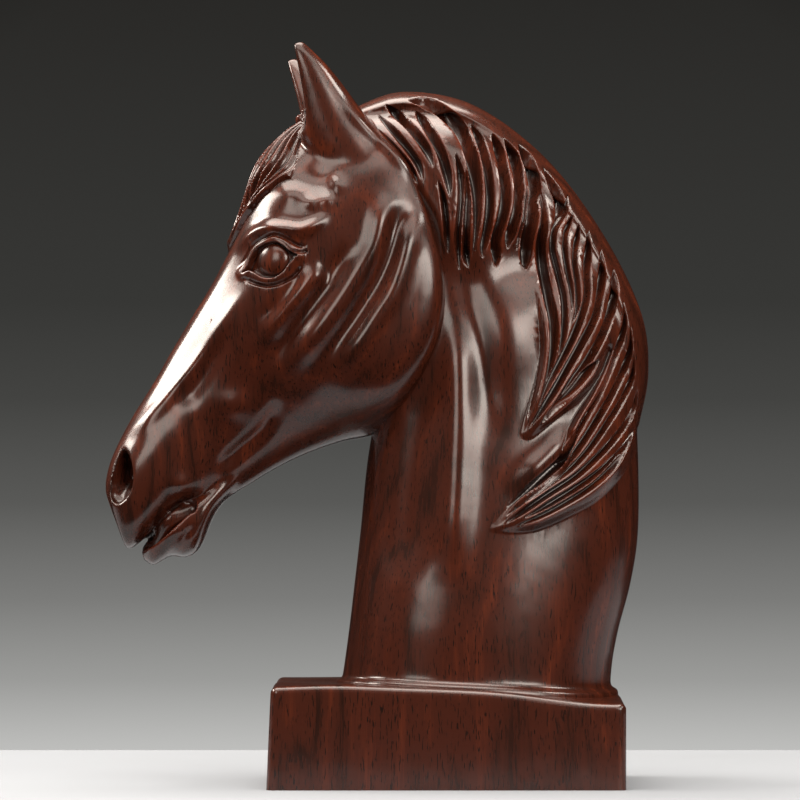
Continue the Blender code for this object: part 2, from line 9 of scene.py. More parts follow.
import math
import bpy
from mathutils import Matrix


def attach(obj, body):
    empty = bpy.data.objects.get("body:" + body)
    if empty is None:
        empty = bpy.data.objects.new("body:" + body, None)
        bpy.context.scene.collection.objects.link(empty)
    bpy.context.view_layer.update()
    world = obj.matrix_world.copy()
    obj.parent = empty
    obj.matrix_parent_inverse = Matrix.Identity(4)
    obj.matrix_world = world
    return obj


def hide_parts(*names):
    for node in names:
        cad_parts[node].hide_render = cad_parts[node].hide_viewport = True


bl_info = {
    "name": "Carved Wooden Horse Head",
    "version": (1, 0, 0),
    "blender": (4, 5, 0),
    "location": "View3D > Sidebar > Horse Head",
    "description": "A horse head and its plinth, carved from one block of dark polished wood",
    "category": "Add Mesh",
}

from contextlib import contextmanager

import bmesh
import bpy
import numpy as np
from bpy.props import FloatProperty, FloatVectorProperty, IntProperty, PointerProperty
from mathutils import Vector
from mathutils.bvhtree import BVHTree

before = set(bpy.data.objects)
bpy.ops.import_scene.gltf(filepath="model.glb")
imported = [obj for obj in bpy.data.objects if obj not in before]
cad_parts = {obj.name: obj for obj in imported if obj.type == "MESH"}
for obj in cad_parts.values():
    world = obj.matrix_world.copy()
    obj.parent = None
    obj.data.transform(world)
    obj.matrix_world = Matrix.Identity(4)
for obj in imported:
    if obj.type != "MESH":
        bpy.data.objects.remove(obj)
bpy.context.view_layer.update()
SOLID = "carved_horse_head"

# Head, from the lips to the back of the jaw. Each row is the top of a section (x, z), its
# bottom (x, z), its half width, the share of its depth at which it is widest, how full it is
# above and below that place (2 is an ellipse, more is squarer), and the half width of its top
# where it is bevelled.
HEAD = (
    (-136.9, 79.5, -129.6, 60.0, 9.0, 0.50, 2.4, 2.6, 40),
    (-136.7, 84.5, -127.6, 56.2, 13.5, 0.50, 2.4, 3.4, 40),
    (-134.8, 92.0, -121.5, 60.0, 16.5, 0.50, 2.4, 3.8, 26),
    (-130.8, 101.0, -113.0, 68.0, 18.0, 0.52, 2.3, 3.4, 15),
    (-125.0, 111.5, -105.0, 74.0, 18.3, 0.52, 2.3, 2.8, 11.5),
    (-117.5, 123.5, -92.0, 74.5, 18.0, 0.48, 2.3, 2.2, 9.5),
    (-110.2, 136.4, -80.0, 81.6, 18.4, 0.42, 2.3, 2.1, 9),
    (-101.6, 150.8, -68.0, 88.8, 20.5, 0.38, 2.3, 2.1, 9),
    (-93.0, 165.2, -55.5, 94.8, 24.5, 0.34, 2.4, 2.2, 9.5),
    (-85.4, 180.2, -41.5, 99.6, 28.5, 0.33, 2.5, 2.5, 12),
    (-80.0, 195.2, -27.0, 103.0, 31.0, 0.36, 2.6, 4.0, 17),
    (-74.5, 210.8, -12.0, 113.5, 31.5, 0.42, 2.5, 7.0, 26),
    (-64.5, 223.0, -0.5, 133.5, 31.0, 0.50, 2.4, 9.0, 40),
    (-49.0, 230.5, 2.5, 157.0, 29.5, 0.55, 2.2, 9.0, 40),
    (-32.5, 233.0, -1.0, 179.0, 26.0, 0.55, 2.1, 5.0, 40),
    (-22.0, 229.0, -7.5, 201.5, 19.0, 0.50, 2.0, 2.0, 40),
)
BEVEL_SLOPE = 0.95              # how fast the head widens from the bridge of the nose
BEVEL_CRISPNESS = 8             # how tightly the bevel turns into the side
# Lower lip and chin
LOWER_JAW = (
    (-122.3, 57.0, -121.4, 51.8, 5.0, 0.50, 2.6, 2.0),
    (-118.5, 62.5, -117.4, 49.9, 10.5, 0.45, 3.4, 2.2),
    (-112.8, 69.5, -110.6, 53.2, 14.0, 0.42, 4.0, 2.2),
    (-106.2, 75.0, -104.0, 53.0, 15.4, 0.45, 4.0, 2.4),
    (-99.5, 78.5, -98.4, 57.2, 15.6, 0.50, 3.4, 2.4),
    (-92.5, 83.0, -92.0, 71.5, 14.0, 0.50, 2.4, 2.0),
    (-84.0, 90.0, -83.0, 81.5, 10.0, 0.50, 2.0, 2.0),
)
# Neck, from the plinth to the poll, laid out like the head from its front to its crest
NECK = (
    (-40.8, 7.0, 67.3, 7.0, 38.6, 0.46, 2.4, 2.4),
    (-38.5, 23.5, 70.3, 23.5, 38.0, 0.46, 2.4, 2.3),
    (-36.2, 43.0, 75.4, 43.0, 36.4, 0.46, 2.3, 2.2),
    (-33.8, 64.0, 78.4, 64.0, 34.2, 0.46, 2.3, 2.1),
    (-31.0, 92.0, 78.4, 96.0, 31.2, 0.44, 2.2, 2.0),
    (-26.5, 118.0, 76.6, 122.0, 28.6, 0.42, 2.2, 1.9),
    (-21.5, 146.0, 72.0, 152.0, 26.2, 0.40, 2.2, 1.8),
    (-20.0, 170.0, 54.5, 186.5, 24.4, 0.42, 2.2, 1.8),
    (-26.5, 187.5, 24.0, 221.0, 22.0, 0.45, 2.1, 1.9),
    (-36.5, 196.5, -9.0, 233.0, 19.5, 0.50, 2.0, 2.0),
    (-46.0, 201.5, -36.5, 231.0, 14.0, 0.50, 2.0, 2.0),
)
# Near ear: front (x, z), back (x, z), half width and distance of the section's middle from
# the middle plane
EAR = (
    (-44.0, 190.0, -4.0, 195.0, 12.0, 14.0),
    (-49.5, 204.0, -12.5, 207.5, 11.6, 14.2),
    (-55.8, 217.0, -21.5, 219.0, 10.8, 14.5),
    (-60.2, 229.0, -31.5, 230.5, 9.6, 15.0),
    (-60.9, 240.0, -40.2, 242.0, 7.8, 16.3),
    (-61.5, 249.0, -47.0, 250.5, 5.8, 17.8),
    (-61.8, 255.0, -52.8, 256.2, 4.0, 18.8),
    (-61.6, 258.8, -57.0, 260.0, 2.2, 19.3),
)
EAR_HOLLOW = 0.42               # how deep the front of the ear is scooped, as a share
EAR_HOLLOW_WIDTH = 0.48         # and how wide
EAR_HOLLOW_START = (222.0, 232.0)   # drawn heights between which the hollow opens
EAR_FLAT = 0.75                 # below 1 the sides of the ear are flatter and its edges tighter
FAR_EAR_LEAN = (-3.5, -3.0)     # the far ear's tip is this much further forward and lower
EAR_BLEND = (229.0, 239.0)      # the ears are rubbed down into the head up to these heights

# Places round which the ears and the lower jaw are rubbed down into the head: middle (x, z),
# radii, and the share of the radii inside which they are rubbed in full. The facets are
# halved round the eye.
EAR_ROOT = ((-36.0, 214.0), (26.0, 17.0), 0.6)
EAR_ROOT_CLEAR = 6.0            # the middle plane, between the ears, is left as it is
JAW_ROOT = ((-89.0, 77.0), (10.0, 14.0), 0.5)
FINE_PLACE = ((-69.0, 171.5), (18.0, 13.5))

OUTSIDE = 150.0                 # drawn distance from the middle plane that clears the bust
DRAWN_BASE = 2.8                # drawn height of the plinth's top at its front end
FOOT_BLEND = 14.0               # the neck follows the plinth's falling top up to this height
FOOT_SPREAD = 0.3               # share of its fillet that the foot still has half way up it
RIPPLE_TURNS = (88.0, 61.0, 47.0)   # waves of the plinth's top in radians to a metre
RIPPLE_SWAY = 1.9               # how far the first waves are bent, in radians
RIPPLE_START = 0.8
PLINTH_CUTS = (32, 32, 14)      # cuts along, across and up the plinth, so that its top can fall
PLINTH_EDGE_FACETS = 6

# Smooth band along the crest, above the roots of the mane: (x, z, radius, half width)
CREST = (
    (-40.0, 228.5, 3.0, 8.0), (-30.0, 232.8, 4.8, 11.0), (-14.0, 235.6, 6.0, 12.5),
    (10.0, 229.4, 7.0, 13.0), (36.0, 209.4, 7.4, 13.5), (57.4, 181.2, 7.4, 13.5),
    (72.4, 151.0, 7.4, 13.0), (76.4, 128.0, 6.4, 12.0), (75.0, 106.0, 3.8, 10.0),
)
CREST_ROOF = 1.45               # 1 is an oval band, 2 one like a roof

# Curves have this many steps for each row that they are drawn with
SECTION_STEPS = 14
PATH_STEPS = 8
EDGE_STEPS = 4
FORELOCK_STEPS = 9              # points of each gouge in the forelock
STRAIGHT_EDGE = 4               # an edge of the mane with no more points than this runs straight
HEAD_SIDES, NECK_SIDES, EAR_SIDES, CREST_SIDES = 128, 160, 96, 72     # points round a section
NOSTRIL_SIDES, NOSTRIL_RINGS = 56, 18

EASE_HEAD = (0.5, 6, 14)
EASE_EARS = (0.5, 6, 16)
EASE_EAR_ROOT = (0.6, 20, 90)
EASE_JAW_ROOT = (0.6, 20, 80)
EASE_HEAD_CUTS = (0.4, 2, 2)
EASE_NECK = (0.5, 4, 14)
EASE_GUIDE = (0.5, 40, 40)
EASE_MANE_EDGE = (0.6, 6, 24)
EASE_MANE = (0.5, 2, 9)
EASE_MANE_CUTS = (0.4, 1, 1)
MARKING = (0.5, 8, 36)          # the same for the surface that the relief is measured from
# The share and the rounds that even out which way the surface faces
FACING_SHARE = 0.6
HEAD_FACING, MANE_FACING, FORELOCK_FACING = 6, 14, 10
GUIDE_FINENESS = 0.0011
TINY = 1e-6                     # next to nothing, where rounding or a division needs more than 0

# Nostril: its outline on the side of the muzzle, and how it narrows and turns back inside:
# distance from the middle plane, shift back and up, and size over the outline's.
NOSTRIL = (
    (-129.6, 97.9), (-127.0, 95.8), (-125.3, 91.9), (-124.5, 87.5), (-124.5, 83.2),
    (-125.3, 79.7), (-127.4, 76.2), (-130.9, 73.8), (-133.5, 74.9), (-134.6, 77.5),
    (-134.6, 81.0), (-134.0, 86.2), (-133.1, 90.6), (-131.8, 94.0),
)
NOSTRIL_SIZE = 0.93             # size of the cut over the outline, whose edge is rubbed round
NOSTRIL_WAY = ((26.0, 0.0, 0.0, 1.0), (12.5, 0.0, 0.0, 1.0), (10.0, 1.2, 1.2, 0.86),
               (6.5, 3.2, 3.0, 0.62), (3.5, 4.6, 3.6, 0.36))
# The mouth, cut from its corner and laid out like a gouge of the mane
MOUTH_CUT = (2.5, 0.06, 0.25, ((-99.6, 73.4), (-102.0, 73.4), (-104.8, 71.8), (-108.6, 68.2),
                               (-112.7, 64.4), (-116.8, 61.0), (-120.7, 57.9), (-125.5, 54.4)))

# Low forms on both sides of the head and of the neck: path (x, z), half width and height in
# drawn millimetres. A minus height is a hollow.
HEAD_FORMS = (
    (((-84.5, 174.5), (-80.3, 179.0), (-76.0, 182.4), (-71.0, 184.4), (-64.5, 184.2),
      (-57.0, 183.6), (-50.5, 186.6), (-44.5, 191.8)), 2.6, 2.2),
    (((-45.8, 207.5), (-43.5, 202.5), (-41.0, 197.0)), 2.6, 1.1),
    (((-46.5, 167.5), (-52.5, 163.0), (-64.0, 151.5), (-77.5, 131.5)), 4.2, 1.7),
    (((-58.0, 173.0), (-62.0, 158.0), (-75.0, 146.0)), 3.0, -0.9),
    (((-22.0, 202.0), (-24.5, 190.5), (-27.5, 178.0), (-34.0, 166.5), (-45.0, 150.0),
      (-55.5, 136.5), (-68.0, 122.5)), 5.0, 2.3),
    (((-38.0, 180.0), (-47.0, 163.0), (-60.0, 144.0), (-72.0, 128.0)), 4.2, -1.9),
    (((-11.5, 192.0), (-14.5, 180.0), (-20.0, 160.5), (-26.5, 150.0), (-35.5, 136.5),
      (-44.0, 127.0)), 4.6, 2.2),
    (((-18.0, 196.0), (-19.5, 185.5), (-23.5, 170.5), (-31.5, 155.5), (-42.5, 139.5),
      (-61.5, 116.0)), 4.0, -2.0),
    (((-66.0, 118.0), (-72.0, 105.0), (-82.0, 96.0), (-93.0, 86.5)), 3.4, -1.8),
    (((-79.0, 162.5), (-98.0, 132.5), (-112.0, 116.0), (-127.0, 99.5)), 3.0, 1.7),
    (((-84.0, 150.0), (-98.0, 125.0), (-108.0, 112.0)), 5.0, -1.4),
    (((-112.5, 52.0), (-108.1, 55.2), (-103.7, 61.5), (-99.0, 67.5)), 1.9, -1.2),
    (((-121.5, 54.0), (-116.5, 57.2), (-110.5, 61.6), (-104.0, 67.2)), 1.8, 0.7),
    (((-42.5, 239.0), (-35.5, 229.4), (-28.5, 221.9), (-21.5, 215.6), (-14.5, 207.0),
      (-8.5, 196.5)), 2.2, 1.3),
)
# Rounded hollows and swellings: middle (x, z), radii, and height
HEAD_ROUNDS = (
    (-50.5, 205.0, 9.0, 7.0, -2.4), (-61.5, 198.0, 5.5, 5.0, 1.3), (-53.7, 194.6, 3.0, 2.8, 1.0),
    (-47.4, 195.8, 2.8, 2.8, 0.9), (-106.0, 81.5, 5.0, 4.2, 1.7), (-83.5, 114.0, 8.0, 6.0, 1.7),
)
NECK_FORMS = (
    (((5.5, 156.0), (6.0, 128.0), (5.5, 100.0), (4.0, 70.0), (1.0, 40.0)), 6.5, 2.7),
    (((3.5, 185.0), (9.0, 160.0), (15.5, 128.0), (19.5, 96.0)), 6.5, -1.8),
    (((-6.0, 135.0), (-12.0, 100.0), (-15.0, 70.0), (-17.0, 40.0)), 8.0, -2.2),
    (((52.0, 108.0), (44.5, 97.0), (36.0, 88.5), (24.0, 77.0)), 5.0, 2.6),
)
NECK_ROUNDS = ((30.0, 176.0, 15.0, 14.0, -4.2), (27.0, 142.0, 12.0, 18.0, 2.2))
FORM_FADE = (0.25, 3.0, 0.5)    # a form dies away at its ends over this share of its length,
                                # or this many half widths if that is more, up to the last share

# Eye: the ball, the creases outside the lids and the margins between which the ball shows,
# all in drawn (x, z), and the heights of the parts over the side of the head.
EYE = (-69.2, 172.2)
EYEBALL_RADII = (6.9, 6.5)
EYEBALL_RISE = 2.2
EYEBALL_ROUND = 0.4             # 0.5 is a round ball, less a flatter one with a steeper edge
EYE_FLOOR = -2.3
UPPER_CREASE = ((-82.6, 168.2), (-79.2, 173.3), (-77.0, 176.9), (-74.2, 179.2), (-70.3, 181.1),
                (-67.3, 181.5), (-64.0, 180.4), (-61.0, 178.9), (-58.0, 177.3), (-54.6, 177.2))
UPPER_MARGIN = ((-80.4, 166.9), (-78.2, 169.6), (-76.9, 172.8), (-75.4, 175.4), (-73.4, 177.1),
                (-70.8, 178.4), (-67.5, 178.8), (-64.6, 177.5), (-62.2, 175.4), (-58.6, 173.6))
LOWER_MARGIN = ((-80.4, 166.9), (-77.9, 167.7), (-75.7, 166.7), (-73.1, 165.1), (-69.7, 164.5),
                (-66.8, 165.4), (-64.0, 167.6), (-61.8, 170.6), (-58.6, 173.6))
LOWER_CREASE = ((-81.3, 165.4), (-77.0, 162.9), (-72.8, 161.6), (-70.0, 161.4), (-65.8, 162.3),
                (-61.3, 164.5), (-58.6, 167.0), (-57.1, 169.6))
CORNER_CUT = ((-60.8, 174.9), (-57.5, 174.7), (-54.6, 175.3))
MARGIN_STEPS = 60
LID_WIDTH = 2.6
UPPER_LID_LIFT = 1.1
LOWER_LID_LIFT = 0.7
LID_SQUARENESS = 4
CREASE_CUT = (0.7, 1.2)         # half width and depth
CREASE_REACH = 1.5              # the crease runs out this many half widths from its middle
CREASE_ROUND = 1.3
CREASE_FADE = 0.12              # share of the way over which a crease opens and closes

# Mane on the near side. Its edges (x, z) run round it from behind the ear and back over the
# crest, each with the distance over which it rises and whether it does so as a crisp
# shoulder. The first edge is hidden in the head.
MANE_EDGES = (
    (2.0, True, ((-60.0, 250.0), (-45.6, 232.2), (-33.5, 222.1), (-23.3, 210.9), (-14.2, 198.8))),
    (6.0, False, ((-14.2, 198.8), (-8.1, 188.6), (-5.1, 178.5), (-1.1, 164.3))),
    (24.0, False, ((-1.1, 164.3), (9.1, 160.7), (21.2, 161.3), (36.0, 164.3))),
    (2.5, True, ((36.0, 164.3), (37.8, 149.6), (38.5, 135.4), (36.1, 121.1), (31.1, 104.8),
                 (30.7, 101.7), (34.3, 100.6), (44.6, 109.3), (53.9, 116.8), (61.2, 125.1),
                 (65.8, 134.9), (66.4, 135.9), (63.1, 126.9), (58.2, 118.3), (52.4, 109.7),
                 (48.4, 101.9))),
    (4.0, False, ((48.4, 101.9), (46.5, 95.4), (43.1, 89.0), (30.4, 79.5), (20.0, 68.0))),
    (3.6, True, ((20.0, 68.0), (17.8, 64.6), (21.2, 63.2), (35.4, 64.3), (49.6, 70.1),
                 (61.0, 76.3), (70.9, 85.9), (76.9, 94.3), (90.0, 104.0))),
    (2.0, True, ((90.0, 104.0), (90.0, 270.0), (-60.0, 270.0), (-60.0, 250.0))),
)
SHOULDER = 0.85                 # 0.5 is a round shoulder, 1 a flatter one
MANE_LIFT = 4.0                 # how far the mane stands out from the neck
MANE_FULLNESS = 2.5             # and how full its section is at least under its widest place
MANE_OVER_CREST = 0.7           # how far it widens the crest
MANE_PARTING = 0.5              # this far from the middle plane nothing is raised
MANE_TIPS = ((30.5, 101.5), (19.0, 64.5))
TIP_LENGTH = 18.0               # the locks run down to their tips over this length
TIP_SHARE = 0.25                # and keep this share of their height there

# Gouges in the mane: half width, the shares of the way over which each opens and closes, and
# its curve (x, z) from root to tip
MANE_CUTS = (
    (1.3, 0.35, 0.30, ((-28.8, 226.2), (-23.5, 219.9), (-18.3, 214.0), (-13.6, 207.9),
                       (-10.6, 201.4))),
    (1.49, 0.30, 0.30, ((-27.0, 231.5), (-20.6, 223.6), (-15.2, 216.7), (-11.0, 210.1),
                       (-8.8, 203.3))),
    (1.82, 0.25, 0.30, ((-24.2, 235.7), (-18.1, 229.8), (-12.2, 223.1), (-7.8, 216.4),
                       (-4.6, 208.7))),
    (1.95, 0.22, 0.30, ((-11.8, 232.9), (-7.3, 225.8), (-2.3, 216.2), (0.4, 206.8), (2.2, 196.7))),
    (2.86, 0.18, 0.50, ((-14.6, 237.2), (-7.6, 235.5), (-0.6, 231.6), (5.6, 225.1), (9.7, 216.2),
                       (11.7, 205.8), (12.5, 195.3), (12.3, 183.6), (10.7, 171.8))),
    (1.3, 0.40, 0.30, ((-2.7, 204.1), (-1.1, 197.8), (-0.0, 189.7), (0.4, 181.9), (1.4, 174.0))),
    (1.56, 0.30, 0.25, ((4.2, 215.4), (6.0, 207.3), (6.6, 197.8), (5.8, 188.6), (4.8, 179.5),
                       (6.0, 167.3))),
    (1.69, 0.30, 0.22, ((8.5, 209.3), (9.0, 200.4), (8.5, 191.1), (8.1, 181.9), (8.0, 174.0),
                       (9.6, 168.6))),
    (1.76, 0.15, 0.30, ((10.7, 227.4), (14.1, 219.9), (16.4, 211.4), (17.6, 201.8), (17.6, 192.9),
                       (16.6, 183.8), (15.0, 176.3), (15.4, 172.5))),
    (2.08, 0.16, 0.22, ((19.0, 223.9), (21.6, 216.2), (23.4, 207.5), (24.1, 198.0), (22.7, 189.0),
                       (20.1, 179.7), (20.4, 173.5), (20.8, 169.0))),
    (2.08, 0.16, 0.25, ((24.1, 221.7), (27.7, 213.0), (29.6, 203.2), (29.3, 193.9), (27.1, 186.0),
                       (25.6, 181.0), (24.8, 176.4))),
    (2.47, 0.15, 0.30, ((29.8, 219.5), (34.0, 210.7), (36.0, 200.0), (35.2, 190.1), (32.6, 179.7),
                       (32.0, 171.8), (32.6, 168.0))),
    (1.3, 0.30, 0.35, ((33.2, 202.0), (32.6, 191.1), (30.3, 181.5), (28.6, 176.0))),
    (2.21, 0.45, 0.40, ((39.8, 209.9), (42.9, 203.2), (45.7, 196.7), (46.1, 191.3),
                       (44.1, 187.6))),
    (2.0, 0.35, 0.30, ((37.2, 205.9), (39.6, 195.1), (39.6, 186.6), (38.0, 177.9), (38.6, 169.0),
                       (41.0, 157.2), (43.0, 147.5), (43.2, 136.9), (40.8, 124.7), (37.0, 113.2))),
    (1.3, 0.20, 0.25, ((50.0, 199.4), (48.2, 192.3), (44.3, 185.0), (42.9, 176.5), (44.9, 166.9),
                       (47.1, 157.2), (47.6, 147.1), (46.4, 137.3), (43.5, 127.6))),
    (1.1, 0.22, 0.30, ((51.8, 191.3), (49.0, 184.8), (48.1, 177.1), (48.9, 168.4), (50.8, 159.2),
                       (51.0, 150.7))),
    (1.1, 0.22, 0.30, ((54.2, 187.6), (52.8, 179.5), (52.0, 171.0), (53.0, 161.7), (53.0, 152.7),
                       (51.0, 146.6))),
    (1.5, 0.20, 0.25, ((58.1, 185.0), (57.5, 176.9), (56.9, 167.7), (56.9, 158.2), (54.4, 149.3),
                       (50.6, 140.4), (45.9, 131.2), (40.7, 121.5), (35.8, 109.9))),
    (1.6, 0.18, 0.25, ((63.1, 177.3), (63.1, 167.9), (62.1, 158.2), (60.1, 149.3), (55.0, 139.8),
                       (49.6, 130.6), (43.9, 120.9), (38.0, 111.8), (33.0, 104.1))),
    (1.7, 0.15, 0.30, ((68.2, 169.6), (68.0, 160.6), (66.4, 151.5), (63.1, 142.6), (57.9, 133.3),
                       (51.6, 124.7), (45.7, 116.4), (38.8, 107.9))),
    (2.0, 0.30, 0.35, ((62.1, 132.4), (56.9, 127.2), (51.0, 120.1), (44.7, 113.4), (37.8, 105.9))),
    (1.3, 0.20, 0.20, ((72.0, 156.8), (72.3, 147.1), (69.4, 136.9), (65.4, 127.2), (60.9, 117.8),
                       (55.8, 109.1), (50.6, 100.0), (46.5, 92.9), (40.9, 87.4), (30.9, 79.3),
                       (23.2, 71.2))),
    (1.4, 0.22, 0.20, ((74.9, 147.1), (74.5, 136.9), (71.2, 127.2), (66.4, 117.6), (60.7, 108.3),
                       (54.8, 99.4), (48.8, 91.3), (41.9, 85.2), (31.5, 76.7), (23.4, 69.0))),
    (1.2, 0.25, 0.22, ((76.5, 135.5), (75.3, 125.8), (71.0, 116.0), (64.6, 106.3), (57.7, 97.0),
                       (50.2, 89.0), (41.9, 82.8), (30.9, 74.0))),
    (1.3, 0.22, 0.20, ((77.9, 120.7), (75.3, 110.9), (68.8, 101.8), (60.7, 93.3), (52.0, 85.8),
                       (41.5, 79.1), (30.7, 71.8), (23.2, 66.3))),
    (1.4, 0.22, 0.22, ((76.9, 105.1), (71.4, 96.5), (63.1, 88.6), (54.0, 82.3), (42.9, 75.7),
                       (30.5, 68.4))),
    (1.3, 0.30, 0.22, ((74.7, 98.8), (68.2, 90.1), (59.1, 82.1), (48.4, 75.5), (37.4, 69.6),
                       (27.7, 65.3))),
)
GOUGE_DEPTH = 2.5               # depth of a gouge over its half width
GOUGE_ROUND = 0.7               # 0.5 is a half-round gouge, 1 a shallower sweep
GOUGE_LEAN = 0.25               # how far a gouge is cut steeper on its side towards the face
GOUGE_PARTING = (1.0, 4.0)      # distances from the middle plane between which gouges deepen
FAR_SIDE_KEEPS = 2              # the far side has every second gouge

# Forelock, on a plan of the forehead: distance down it from the poll, and across. Its half
# width at those distances, and its gouges: the shares of the half width at which each runs
# at those distances, the part of the way, and the half width.
FORELOCK_LINE = ((-47.0, 231.5), (-56.0, 227.0), (-65.0, 220.5), (-71.5, 212.0), (-76.0, 203.5),
                 (-79.5, 194.5), (-82.5, 186.0), (-86.5, 175.0))
FORELOCK_STATIONS = (0.0, 10.0, 20.0, 30.0, 40.0, 50.0, 60.0, 68.0)
FORELOCK_HALF = (7.0, 12.0, 19.5, 23.5, 22.0, 17.0, 10.0, 2.5)
FORELOCK_LIFT = 2.4
FORELOCK_EDGE = 1.8             # it rises at its sides over this distance
FORELOCK_SHOULDER = 0.7
FORELOCK_ENDS = (6.0, 4.0)      # and at its root and tip over these
FORELOCK_DEPTH = (-6.0, 18.0)   # how far over and under its line it reaches
FORELOCK_REACH = 22.0
FORELOCK_TURN = (0.1, 0.5)      # it fades as the surface turns from the forehead to the side
FORELOCK_WAVE = (0.05, 9.0, 7.0)    # sway of a gouge, its length, and its shift to the next
FORELOCK_GOUGE_ENDS = (0.3, 0.3)
FORELOCK_CUTS = (
    (0.00, 0.04, 0.97, 1.2), (0.15, 0.16, 0.90, 1.0), (0.29, 0.03, 0.99, 1.2),
    (0.42, 0.22, 0.86, 1.0), (0.55, 0.05, 0.96, 1.3), (0.68, 0.12, 0.90, 1.1),
    (0.81, 0.06, 0.99, 1.2), (0.93, 0.10, 0.72, 1.0),
)

# Stage: softboxes with their place, size and watts, the tones of the backdrop from the
# floor up, and the camera, all in metres
LIGHTS = (
    ("left_softbox", (-1.13, 0.18, 0.82), (0.90, 0.30), 26.0),
    ("top_softbox", (-0.20, 0.05, 1.42), (1.30, 1.30), 62.0),
    ("front_softbox", (-0.08, -0.92, 1.22), (1.80, 0.50), 12.0),
    ("front_wall", (0.85, -1.30, 0.84), (1.30, 0.66), 7.0),
    ("cheek_strip", (-0.71, -1.23, 0.62), (0.55, 0.45), 5.0),
    ("ridge_strip", (0.68, -1.28, 0.56), (0.62, 0.50), 11.0),
    ("right_softbox", (0.90, -0.40, 1.01), (0.45, 0.28), 9.0),
)
LIGHT_COLOUR = (1.0, 0.90, 0.81)
LIT_PLACE = (0.0, 0.0, 0.16)
BOARD_SIZE = (1.8, 0.39, 0.03)
BOARD_MIDDLE = 0.045
BOARD_EDGE = 0.004
BACKDROP = ((0.0, "#c2c2c0"), (0.03, "#bcbcba"), (0.11, "#9b9b99"), (0.21, "#7b7b79"),
            (0.33, "#595957"), (0.46, "#434341"), (0.58, "#373735"), (1.0, "#282725"))
BACKDROP_RANGE = (-0.06, 0.12)  # its lower and upper end, as the sine of the angle up
BACKDROP_SIDES = (0.991, 0.982) # it ends between these cosines of the angle off the view
ROOM = "#181817"                # the dark room round it
CAMERA_PLACE = (-0.0191, -1.8, 0.1142)
CAMERA_RISE = 100 / 4452        # the camera looks up by this slope
CAMERA_LENS = 200.3
CAMERA_SENSOR = 36.0
CAMERA_REACH = 20.0


def real(hex_colour, alpha=1.0):
    """A linear colour from an sRGB hex value."""
    parts = [int(hex_colour[k:k + 2], 16) / 255 for k in (1, 3, 5)]
    linear = [p / 12.92 if p <= 0.04045 else ((p + 0.055) / 1.055) ** 2.4 for p in parts]
    return (*linear, alpha)


def length(name, default, description, least=0.0):
    """A length in metres that the user may change."""
    return FloatProperty(name=name, description=description, default=default, min=least,
                         unit="LENGTH")


def tint(name, hex_colour, description):
    """A colour that the user may change."""
    return FloatVectorProperty(name=name, description=description, default=real(hex_colour),
                               size=4, min=0.0, max=1.0, subtype="COLOR")


def share_of(name, default, description):
    """A share from 0 to 1 that the user may change."""
    return FloatProperty(name=name, description=description, default=default, min=0.0, max=1.0,
                         subtype="FACTOR")


class HorseHeadShape(bpy.types.PropertyGroup):
    """Sizes of the carving."""
    bust_height: length("Bust Height", 0.257, "Plinth top to the tip of the taller ear", 0.05)
    plinth_height: length("Plinth Height", 0.041, "Height of the plinth at its front end", 0.01)
    front_step: length("Front Step", 0.028, "Plinth top left bare in front of the neck")
    back_step: length("Back Step", 0.004, "Plinth top left bare behind the neck")
    side_step: length("Side Step", 0.0085, "Plinth top left bare beside the neck")
    level: length("Level Top", 0.050, "Length of the plinth's top that is level, from its front")
    near_fall: length("Near Fall", 0.0066,
                      "How far the plinth's top then falls along the near side")
    far_fall: length("Far Fall", 0.0033,
                     "How far the plinth's top then falls along the far side")
    corner_radius: length("Corner Radius", 0.0028,
                          "Rounding of the plinth's upright and top edges", 0.0005)
    flare: length("Flare", 0.0018, "How far the plinth's front end leans out at its foot")
    foot_fillet: length("Foot Fillet", 0.003, "Hollow cut round the foot of the neck")
    ripple: length("Tool Ripple", 0.0005,
                   "Unevenness that the hand tools left on the plinth's top")
    fineness: length("Fineness", 0.00038,
                     "Width of the facets that the head and neck are cut with", 0.0003)
    triangles: IntProperty(
        name="Triangles", description="Triangles left on the head and on the neck",
        default=196000, min=20000, max=199000)


class HorseHeadFinish(bpy.types.PropertyGroup):
    """Colours and gloss of the wood."""
    heart: tint("Heartwood", "#35150b", "Dark body colour of the wood")
    vein: tint("Dark Veins", "#190904", "Near-black veins between the growth rings")
    flame: tint("Red Streaks", "#522211", "Reddish orange streaks along the grain")
    # Near-black painted shade in the cuts, where dark polish also settles
    stain_and_shade: tint("Stain and Shade", "#0a0302", "What has settled in the cuts of the carving")
    # Lighter, redder painted highlight on the raised edges, where the wood is also rubbed through
    edge: tint("Edge Highlight and Wear", "#66260f", "Wood on the edges where the stain is rubbed off")
    ring_width: length("Ring Width", 0.0065, "Distance between growth rings", 0.001)
    lacquer_roughness: share_of("Lacquer Roughness", 0.20,
                                "How blurred the lacquer's reflections are")
    wood_roughness: share_of("Wood Roughness", 0.5, "Roughness of the wood under the lacquer")


